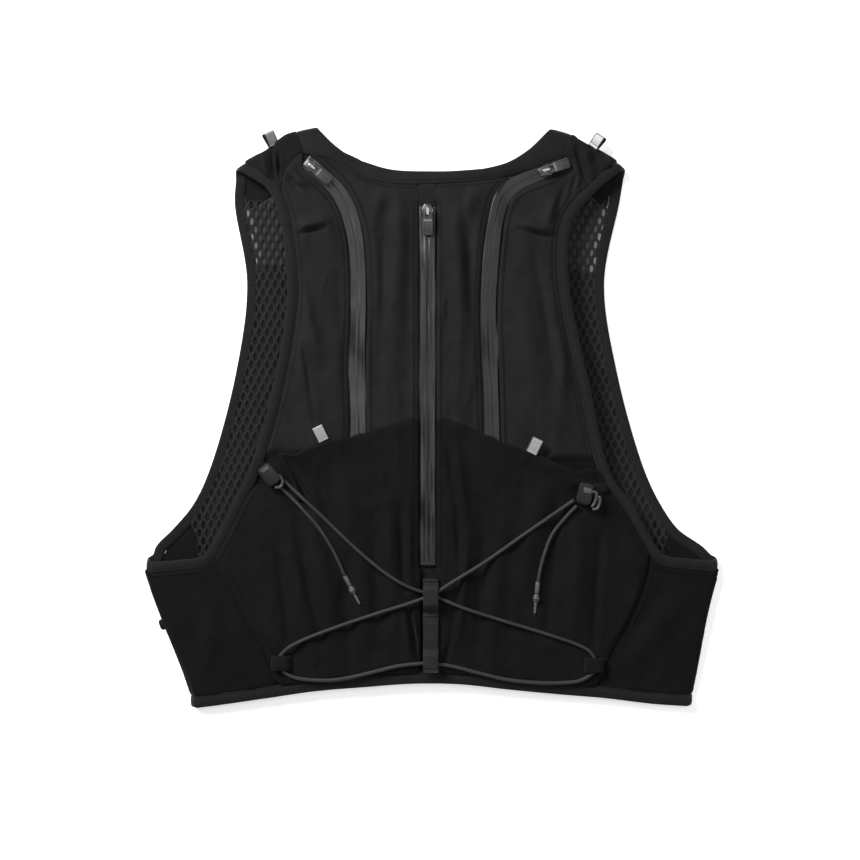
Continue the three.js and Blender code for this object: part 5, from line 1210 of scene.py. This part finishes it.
def set_down(name, bm, x, y, z, heading=0.0, pitch=0.0, about=(0, 0, 0)):
    """Turns and places what was drawn, shades it smooth and makes an object of it."""
    hinge = Matrix.Translation(Vector(about) * mm)
    lean = hinge @ Matrix.Rotation(pitch, 4, "X") @ hinge.inverted()
    moved = Matrix.Translation(Vector((x, y, z)) * mm) @ Matrix.Rotation(heading, 4, "Z") @ lean
    bmesh.ops.transform(bm, matrix=moved, verts=bm.verts)
    bmesh.ops.recalc_face_normals(bm, faces=bm.faces)
    mesh = bpy.data.meshes.new(name)
    bm.to_mesh(mesh)
    bm.free()
    for face in mesh.polygons:
        face.use_smooth = True
    mesh.set_sharp_from_angle(angle=math.radians(38))
    obj = bpy.data.objects.new(name, mesh)
    bpy.context.scene.collection.objects.link(obj)
    return obj


def moulded_material(name, colour, roughness, metallic=0.0, grain=1200, depth=0.00005, wear=0.15, gloss=0.5):
    """Moulded or cast surface: fine grain, slight cloudiness and a worn change of roughness."""
    material = bpy.data.materials.new(name)
    material.use_nodes = True
    tree = material.node_tree
    shader = tree.nodes["Principled BSDF"]
    place_in = tree.nodes.new("ShaderNodeTexCoord")
    fine = tree.nodes.new("ShaderNodeTexNoise")
    fine.inputs["Scale"].default_value = grain
    fine.inputs["Detail"].default_value = 3
    broad = tree.nodes.new("ShaderNodeTexNoise")
    broad.inputs["Scale"].default_value = 260
    tree.links.new(place_in.outputs["Object"], fine.inputs["Vector"])
    tree.links.new(place_in.outputs["Object"], broad.inputs["Vector"])
    shade = maths(tree, "ADD", maths(tree, "MULTIPLY", broad.outputs["Fac"], 0.4), 0.8)
    tint = tree.nodes.new("ShaderNodeVectorMath")
    tint.operation = "SCALE"
    tint.inputs[0].default_value = colour
    tree.links.new(shade, tint.inputs["Scale"])
    tree.links.new(tint.outputs["Vector"], shader.inputs["Base Color"])
    rough = maths(tree, "ADD", maths(tree, "MULTIPLY", broad.outputs["Fac"], wear), roughness - wear / 2)
    tree.links.new(rough, shader.inputs["Roughness"])
    bump = tree.nodes.new("ShaderNodeBump")
    bump.inputs["Distance"].default_value = depth
    tree.links.new(fine.outputs["Fac"], bump.inputs["Height"])
    tree.links.new(bump.outputs["Normal"], shader.inputs["Normal"])
    shader.inputs["Metallic"].default_value = metallic
    shader.inputs["Specular IOR Level"].default_value = gloss
    return material


gun_metal = moulded_material("gun_metal", (0.075, 0.075, 0.078), 0.38, metallic=0.9)
bright_metal = moulded_material("bright_metal", (0.27, 0.27, 0.28), 0.42, metallic=1.0)
pull_rubber = moulded_material("pull_rubber", (0.026, 0.026, 0.028), 0.5, grain=2200, depth=0.00004,
                               gloss=0.4)
collar_grey = moulded_material("collar_grey", (0.095, 0.095, 0.10), 0.40)
lock_plastic = moulded_material("lock_plastic", (0.0070, 0.0070, 0.0075), 0.55, grain=2600, gloss=0.2)
lock_face = moulded_material("lock_face", (0.040, 0.040, 0.042), 0.42, gloss=0.35)


# Zip sliders and pulls. A dark die-cast slider with a bright bail; round one leg of the bail goes the
# eye of a moulded pull, with a raised rim and grip bars on its face.
slider_length, slider_width, slider_height = 12.0, 9.0, 2.6
pull_length, pull_width, pull_wall = 17.0, 8.0, 1.6


def node_place(name):
    low, high = (Vector(corner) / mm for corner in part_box(name))
    return (low + high) / 2, low, high


for name in ("centre", "left", "right"):
    slider_middle, slider_low, _ = node_place(f"zip_slider_{name}")
    pull_middle, pull_low, _ = node_place(f"zip_pull_{name}")
    down_zip = name != "right"
    lie = (slider_middle - pull_middle) if down_zip else (pull_middle - slider_middle)
    heading = 0.0 if name == "centre" else math.atan2(lie.y, lie.x) - math.pi / 2
    half, nose = slider_width / 2, slider_length / 2

    body = bmesh.new()
    prism(body, [(-half, nose * 0.4), (-half * 0.62, -nose), (half * 0.62, -nose), (half, nose * 0.4),
                 (half * 0.55, nose), (-half * 0.55, nose)], 0, 1.0, 0.35)
    prism(body, [(-half * 0.9, nose * 0.36), (-half * 0.5, -nose * 0.92), (half * 0.5, -nose * 0.92),
                 (half * 0.9, nose * 0.36), (half * 0.5, nose * 0.9), (-half * 0.5, nose * 0.9)],
          1.0, slider_height, 0.45)
    for sign in (-1, 1):
        prism(body, [(sign * half * 0.98, nose * 0.3), (sign * half * 0.78, nose * 0.3),
                     (sign * half * 0.42, -nose * 0.86), (sign * half * 0.62, -nose * 0.86)],
              0.4, slider_height + 0.35, 0.25)
    slider = set_down(f"slider_{name}", body, slider_middle.x, slider_middle.y, slider_low.z, heading)
    dress(slider, gun_metal)
    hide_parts(f"zip_slider_{name}")

    arch = bmesh.new()
    leg = slider_length * 0.3
    top = slider_height + 3.1
    outer_arc = [(-leg, slider_height - 0.6)] + arc(-leg + 1.4, top - 1.4, 1.4, 180, 90, 5) + \
        arc(leg - 1.4, top - 1.4, 1.4, 90, 0, 5) + [(leg, slider_height - 0.6)]
    inner_arc = [(leg - 0.95, slider_height - 0.6)] + arc(leg - 1.5, top - 1.5, 0.55, 0, 90, 4) + \
        arc(-leg + 1.5, top - 1.5, 0.55, 90, 180, 4) + [(-leg + 0.95, slider_height - 0.6)]
    strip_verts = prism(arch, outer_arc + inner_arc, -0.95, 0.95, 0.22)
    stand = Matrix.Rotation(math.radians(90), 4, "Z") @ Matrix.Rotation(math.radians(90), 4, "X")
    bmesh.ops.transform(arch, matrix=stand, verts=strip_verts)
    bail = set_down(f"bail_{name}", arch, slider_middle.x, slider_middle.y, slider_low.z, heading)
    dress(bail, bright_metal)
    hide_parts(f"zip_slider_{name}")

    grip = bmesh.new()
    w = pull_width / 2
    eye = 2.2
    around = (arc(0, 0, w * 0.86, 20, 160, 11) + [(-w * 0.98, -3.4), (-w, -6.5)]
              + arc(-w + 1.9, -pull_length + w * 0.55 + 1.9, 1.9, 180, 262, 5)
              + arc(w - 1.9, -pull_length + w * 0.55 + 1.9, 1.9, 278, 360, 5)
              + [(w, -6.5), (w * 0.98, -3.4)])
    hole = [(eye * 0.82 * x / math.hypot(x, y + 1e-9), eye * y / math.hypot(x, y + 1e-9)) for x, y in around]
    loops = []
    for z in (0, pull_wall):
        pair = []
        for ring in (around, hole):
            verts = [grip.verts.new((x * mm, y * mm, z * mm)) for x, y in ring]
            pair.append([grip.edges.new((verts[k - 1], verts[k])) for k in range(len(verts))])
        loops.append(pair)
    for a, b in ((loops[0][0], loops[0][1]), (loops[1][0], loops[1][1]), (loops[0][0], loops[1][0]),
                 (loops[0][1], loops[1][1])):
        bmesh.ops.bridge_loops(grip, edges=a + b)
    bmesh.ops.recalc_face_normals(grip, faces=grip.faces)
    corners = [e for e in grip.edges if len(e.link_faces) == 2 and e.calc_face_angle(0) > 0.9]
    bmesh.ops.bevel(grip, geom=corners, offset=0.35 * mm, segments=2, profile=0.5, affect="EDGES",
                    material=-1)
    foot = -pull_length + w * 0.55
    for sign in (-1, 1):
        prism(grip, [(sign * (w - 0.7), -5.0), (sign * (w - 1.4), -5.0), (sign * (w - 1.4), foot + 2.2),
                     (sign * (w - 0.7), foot + 2.2)], pull_wall - 0.2, pull_wall + 0.35, 0.15)
    prism(grip, [(-w + 1.2, foot + 1.7), (w - 1.2, foot + 1.7), (w - 1.2, foot + 1.0),
                 (-w + 1.2, foot + 1.0)], pull_wall - 0.2, pull_wall + 0.35, 0.15)
    for k in range(3):
        prism(grip, [(-1.3, -6.2 - 1.9 * k), (1.3, -6.2 - 1.9 * k), (1.3, -7.1 - 1.9 * k),
                     (-1.3, -7.1 - 1.9 * k)], pull_wall - 0.2, pull_wall + 0.3, 0.15)
    turn = heading if down_zip else heading + math.pi
    hinge = leg - 0.5
    out = -1 if down_zip else 1
    hx = slider_middle.x - out * hinge * math.sin(heading)
    hy = slider_middle.y + out * hinge * math.cos(heading)
    pull = set_down(f"pull_{name}", grip, hx, hy, pull_low.z + 0.15, turn, math.radians(7), (0, -2.4, 0))
    dress(pull, pull_rubber)
    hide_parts(f"zip_pull_{name}")

    collar = bmesh.new()
    prism(collar, [(-w + 0.7, -2.6), (w - 0.7, -2.6), (w - 0.9, -4.7), (-w + 0.9, -4.7)], pull_wall - 0.3,
          pull_wall + 0.45, 0.25)
    plate = set_down(f"pull_collar_{name}", collar, hx, hy, pull_low.z + 0.15, turn, math.radians(7),
                     (0, -2.4, 0))
    dress(plate, collar_grey)


# Cord locks: a rounded moulded grip with side ridges and a cord slot, a lighter face plate, and a bent
# hook that the cord is passed round. Each is sewn on by a tab of webbing.
lock_height = 6.5
hooks = {
    "left": [(4.2, -2.5, 3.2), (5.4, -6.0, 3.2), (4.2, -10.4, 3.2), (0.6, -12.2, 3.2), (-2.6, -9.8, 3.4)],
    "right": [(3.5, 2.2, 5.0), (7.4, 2.4, 4.6), (8.6, -0.6, 4.2), (8.2, -5.6, 3.6), (6.6, -9.0, 3.4)],
}
for side, turn in (("left", 38), ("right", -12)):
    middle, low, high = node_place(f"cord_lock_{side}")
    x, y = {"left": (-120.5, -42.5), "right": (113.5, -56.5)}[side] + box_shift
    grip = bmesh.new()
    rounded = arc(3.0, 5.4, 2.5, 0, 90, 4) + arc(-3.0, 5.4, 2.5, 90, 180, 4)
    rounded += arc(-3.0, -5.4, 2.5, 180, 270, 4) + arc(3.0, -5.4, 2.5, 270, 360, 4)
    prism(grip, rounded, 0, lock_height - 0.6, 0.9, 3)
    for k in range(4):
        for sign in (-1, 1):
            prism(grip, [(sign * 5.2, 3.6 - 2.2 * k), (sign * 5.95, 3.6 - 2.2 * k),
                         (sign * 5.95, 2.6 - 2.2 * k), (sign * 5.2, 2.6 - 2.2 * k)], 1.4, 4.6, 0.2)
    prism(grip, [(-2.8, -7.3), (2.8, -7.3), (2.8, -8.6), (-2.8, -8.6)], 1.0, 4.4, 0.3)
    body = set_down(f"lock_body_{side}", grip, x, y, low.z, math.radians(turn))
    dress(body, lock_plastic)
    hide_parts(f"cord_lock_{side}")
    cover = bmesh.new()
    if side == "right":
        prism(cover, [(-1.8, 4.6), (4.4, 4.6), (4.4, 0.4), (-1.8, 0.4)], lock_height - 0.9, lock_height, 0.3)
    else:
        prism(cover, [(-3.6, 6.2), (3.6, 6.2), (3.0, 3.4), (-3.0, 3.4)], lock_height - 0.9,
              lock_height - 0.2, 0.3)
    rod(cover, hooks[side], 2.6)
    if side == "right":
        rod(cover, [(10.6, 0.6, 4.0), (12.0, -4.0, 3.8), (10.8, -9.2, 3.6), (7.6, -10.4, 3.4)], 2.4)
    hook = set_down(f"lock_hook_{side}", cover, x, y, low.z, math.radians(turn))
    dress(hook, lock_face)


# Webbing: the ladder of flat tape up the middle, the keepers that hold the lacing at the pockets' lower
# corners, the tabs of the cord locks, the tab in the left side seam and the chest strap.
webbing_width, webbing_wall = 11.0, 1.2
ladder_x = -1.0 + box_shift[0]
ladder_rows = [
    (0.225, 0, 0), (0.217, 0, 0), (0.209, 1, 1), (0.180, 1, 1), (0.170, 1, 0.2), (0.162, 0, 0),
    (0.148, 0, 0.35), (0.120, 0, 0.35), (0.104, 0, 0), (0.094, 1, 1), (0.070, 1, 1), (0.066, 0, 0),
]
bars = [0.2215, 0.2125, 0.1625, 0.1005]


def lacing_top(y):
    close = (np.abs(lacing_path[:, 0] - ladder_x) < 7.5) & (np.abs(lacing_path[:, 1] - y) < 8)
    return (lacing_path[close, 2].max() if close.any() else 0) + cord_size / 2


ladder_y = place([(0, row[0]) for row in ladder_rows])[:, 1]
ladder_z = []
for (v, over, lift), y in zip(ladder_rows, ladder_y):
    rest = float(on_pocket(np.array([ladder_x]), np.array([y]))[0]) + 0.3
    height = max(0.0, lacing_top(y) - rest + 0.3) if over else (webbing_wall if lift else 0.0)
    ladder_z.append(rest + webbing_wall + lift * height)
ladder_run = spaced(np.column_stack([ladder_y, np.zeros(len(ladder_y)), ladder_z]), 260)
for _ in range(14):
    ladder_run[1:-1, 2] = (ladder_run[:-2, 2] + 2 * ladder_run[1:-1, 2] + ladder_run[2:, 2]) / 4
bar_y = place([(0, v) for v in bars])[:, 1]


def ladder_shape(s, t):
    y = np.interp(t, np.linspace(0, 1, 260), ladder_run[:, 0])
    z = np.interp(t, np.linspace(0, 1, 260), ladder_run[:, 2])
    off = (s - 0.5) * webbing_width
    edge = np.clip(np.abs(off) / (webbing_width / 2), 0, 1)
    z = z - 0.25 * edge ** 6 + 0.06 * np.sin(off * 2 * np.pi / 1.57)
    for bar in bar_y:
        z = z + 0.55 * np.exp(-((y - bar) / 0.65) ** 2) - 0.35 * np.exp(-((y - bar + 1.5) / 0.5) ** 2)
    x = ladder_x + off * (1 + 0.012 * np.sin(y / 5))
    return np.column_stack([x, y, z, off, y])


webbing = ribbed_material("webbing", (0.0095, 0.0095, 0.0100), rib=1.2, gloss=0.14)
ladder = dress(grid_piece("ladder", 22, 240, ladder_shape), webbing)
wall = ladder.modifiers.new("wall", "SOLIDIFY")
wall.thickness = webbing_wall * mm
wall.offset = -1
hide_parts("ladder_webbing")
tab_cloth = cloth_material("tab_webbing", (0.0048, 0.0048, 0.0052), thread=1.3, gloss=0.08, seam=0.0)
for node_name in ("cord_keeper_left", "cord_keeper_right", "lock_anchor_left", "lock_anchor_right",
                  "side_tab", "chest_strap"):
    tab = soft_panel([node_name], f"{node_name}_webbing", [], [], 3)
    dress(tab, tab_cloth)


# Reflective loops: silver tape with black edges, folded back on itself at its free end.
loop_width = 9.0


def loop_piece(name, gap, length):
    """A loop in its own frame: sewn edge at the origin, lying along +y, its sides gap apart."""
    turn = math.pi * gap / 2

    def shape(s, t):
        run = t * (2 * length + turn)
        off = (s - 0.5) * loop_width
        on_bend = np.clip((run - length) / turn, 0, 1) * np.pi
        back = np.clip(run - length - turn, 0, None)
        y = np.minimum(run, length) - back + np.sin(on_bend) * gap / 2
        open_by = np.clip(y / length, 0.15, 1) ** 0.5
        z = gap / 2 * (1 - np.cos(on_bend)) * open_by + 0.35
        return np.column_stack([off, y, z, off, run])

    return grid_piece(name, 16, 60, shape)


silver = bpy.data.materials.new("reflective_tape")
silver.use_nodes = True
silver_tree = silver.node_tree
silver_shader = silver_tree.nodes["Principled BSDF"]
silver_uv = silver_tree.nodes.new("ShaderNodeUVMap")
silver_uv.uv_map = "cloth"
silver_split = silver_tree.nodes.new("ShaderNodeSeparateXYZ")
silver_tree.links.new(silver_uv.outputs["UV"], silver_split.inputs["Vector"])
from_edge = maths(silver_tree, "ABSOLUTE", maths(silver_tree, "DIVIDE", silver_split.outputs["X"], mm))
black_edge = maths(silver_tree, "GREATER_THAN", from_edge, loop_width / 2 - 0.8)
beads = silver_tree.nodes.new("ShaderNodeTexVoronoi")
beads.inputs["Scale"].default_value = 1500
silver_place = silver_tree.nodes.new("ShaderNodeTexCoord")
silver_tree.links.new(silver_place.outputs["Object"], beads.inputs["Vector"])
bead_shade = maths(silver_tree, "ADD", maths(silver_tree, "MULTIPLY", beads.outputs["Distance"], 0.35), 0.72)
bead_tint = silver_tree.nodes.new("ShaderNodeVectorMath")
bead_tint.operation = "SCALE"
bead_tint.inputs[0].default_value = (0.25, 0.25, 0.253)
silver_tree.links.new(bead_shade, bead_tint.inputs["Scale"])
edge_mix = silver_tree.nodes.new("ShaderNodeMixRGB")
edge_mix.inputs["Color2"].default_value = (0.012, 0.012, 0.012, 1)
silver_tree.links.new(black_edge, edge_mix.inputs["Fac"])
silver_tree.links.new(bead_tint.outputs["Vector"], edge_mix.inputs["Color1"])
silver_tree.links.new(edge_mix.outputs["Color"], silver_shader.inputs["Base Color"])
bead_bump = silver_tree.nodes.new("ShaderNodeBump")
bead_bump.inputs["Distance"].default_value = 0.00008
silver_tree.links.new(beads.outputs["Distance"], bead_bump.inputs["Height"])
silver_tree.links.new(bead_bump.outputs["Normal"], silver_shader.inputs["Normal"])
silver_shader.inputs["Roughness"].default_value = 0.42
silver_shader.inputs["Metallic"].default_value = 0.25

silver_back = moulded_material("reflective_tape_back", (0.008, 0.008, 0.008), 0.7, gloss=0.1)
loop_places = [("pocket_left", 26, 0, 1.2, 11), ("pocket_right", -26, 0, 1.2, 11),
               ("shoulder_left", 30, 32, 3.4, 9), ("shoulder_right", -41, -32, 3.4, 9)]
for name, turn, roll, gap, length in loop_places:
    middle, low, high = node_place(f"reflective_loop_{name}")
    angle = math.radians(turn)
    reach = length / 2 + (1.8 if roll else 0.5)
    foot = Vector((middle.x + reach * math.sin(angle), middle.y - reach * math.cos(angle),
                   low.z + loop_width / 2 * abs(math.sin(math.radians(roll))))) * mm
    flat = loop_piece(f"loop_{name}", gap, length)
    flat.data.transform(Matrix.Translation(foot) @ Matrix.Rotation(angle, 4, "Z")
                        @ Matrix.Rotation(math.radians(roll), 4, "Y"))
    dress(flat, silver_back)
    flat.data.materials.append(silver)
    wall = flat.modifiers.new("wall", "SOLIDIFY")
    wall.thickness = 0.45 * mm
    wall.offset = 0
    wall.material_offset = 1
    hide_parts(f"reflective_loop_{name}")


# Stitching: short raised threads, one by one, along the zips, the armhole and front bindings, the neck
# and the hem.
def stitch_rows(name, lines, pitch=2.5, long=1.7, thick=0.55):
    """Small threads laid along lines of places and heights in millimetres."""
    bm = bmesh.new()
    for line in lines:
        run = np.concatenate([[0], np.cumsum(np.linalg.norm(np.diff(line, axis=0), axis=1))])
        marks = np.arange(pitch / 2, run[-1], pitch)
        spots = np.column_stack([np.interp(marks, run, line[:, k]) for k in range(3)])
        ahead = np.column_stack([np.interp(marks + 0.3, run, line[:, k]) for k in range(3)])
        for spot, next_spot in zip(spots, ahead):
            way = Vector(next_spot - spot)
            if way.length < 1e-6:
                continue
            turn = way.to_track_quat("X", "Z").to_matrix().to_4x4()
            size = Matrix.Diagonal((long * mm / 2, thick * mm / 2, thick * mm / 2, 1))
            bmesh.ops.create_icosphere(bm, subdivisions=1, radius=1,
                                       matrix=Matrix.Translation(Vector(spot) * mm) @ turn @ size)
    mesh = bpy.data.meshes.new(name)
    bm.to_mesh(mesh)
    bm.free()
    for face in mesh.polygons:
        face.use_smooth = True
    obj = bpy.data.objects.new(name, mesh)
    bpy.context.scene.collection.objects.link(obj)
    return obj


thread = moulded_material("thread", (0.0035, 0.0035, 0.0037), 0.65, grain=3000, gloss=0.12)


def on_cloth(line, extra):
    """A flat line on the back's plain rise, lifted by extra."""
    x, y = line[:, 0], line[:, 1]
    return np.column_stack([x, y, back_rise(x, y) + extra])


zip_rows = []
for name in ("left", "right", "centre"):
    for sign in (-1, 1):
        line = beside(zip_middle[name], sign * (zip_half + 3.6))
        if name != "centre":
            line = line[line[:, 1] > place([(0, 0.452)])[0, 1]]
        zip_rows.append(on_cloth(line, 0.45))
dress(stitch_rows("zip_stitching", zip_rows), thread)
binding_rows = []
for side, sign in (("left", 1), ("right", -1)):
    line = beside(armhole_edge[side], sign * (binding_width - 1.6))
    binding_rows.append(on_cloth(line, 0.05))
    line = beside(front_edge_line[side], -sign * (binding_width - 1.8))
    binding_rows.append(np.column_stack([line[:, :2], np.full(len(line), 2.05)]))
neck_line = neck_inner[:, :3] + unit(neck_edge[:, :3] - neck_inner[:, :3]) * 2.6
binding_rows.append(neck_line[16:-16] + [0, 0, -0.35])
hem_line = hem_back[:, :2] + [0, hem_width - 1.7]
binding_rows.append(np.column_stack([hem_line, back_rise(hem_line[:, 0], hem_line[:, 1]) + 0.1]))
dress(stitch_rows("binding_stitching", binding_rows, 2.8, 1.9, 0.5), thread)


# Floor and light: a plain white sheet, one broad overhead light a little stronger from the upper left
# and a weak fill, so that the black cloth shows its folds by soft sheen and casts almost no shadow.
floor_mesh = bpy.data.meshes.new("floor")
bm = bmesh.new()
bmesh.ops.create_grid(bm, x_segments=1, y_segments=1, size=3)
bm.to_mesh(floor_mesh)
bm.free()
floor = bpy.data.objects.new("floor", floor_mesh)
bpy.context.scene.collection.objects.link(floor)
paper = bpy.data.materials.new("paper")
paper.use_nodes = True
paper_shader = paper.node_tree.nodes["Principled BSDF"]
paper_shader.inputs["Base Color"].default_value = (0.92, 0.92, 0.92, 1)
paper_shader.inputs["Roughness"].default_value = 0.9
paper_shader.inputs["Emission Color"].default_value = (1, 1, 1, 1)
paper_shader.inputs["Emission Strength"].default_value = 0.40
floor.data.materials.append(paper)
lamps = [
    ("key", (-1.45, 1.45, 1.55), 1.0, 118),
    ("top", (0.3, 0.2, 2.4), 1.6, 26),
    ("fill", (1.5, -1.1, 1.5), 1.4, 12),
]
bpy.context.scene.view_settings.view_transform = "Standard"
for name, place_at, size, power in lamps:
    lamp_data = bpy.data.lights.new(name, "AREA")
    lamp_data.shape = "SQUARE"
    lamp_data.size = size
    lamp_data.energy = power
    lamp = bpy.data.objects.new(name, lamp_data)
    lamp.location = place_at
    lamp.rotation_euler = Vector(place_at).to_track_quat("Z", "Y").to_euler()
    bpy.context.scene.collection.objects.link(lamp)
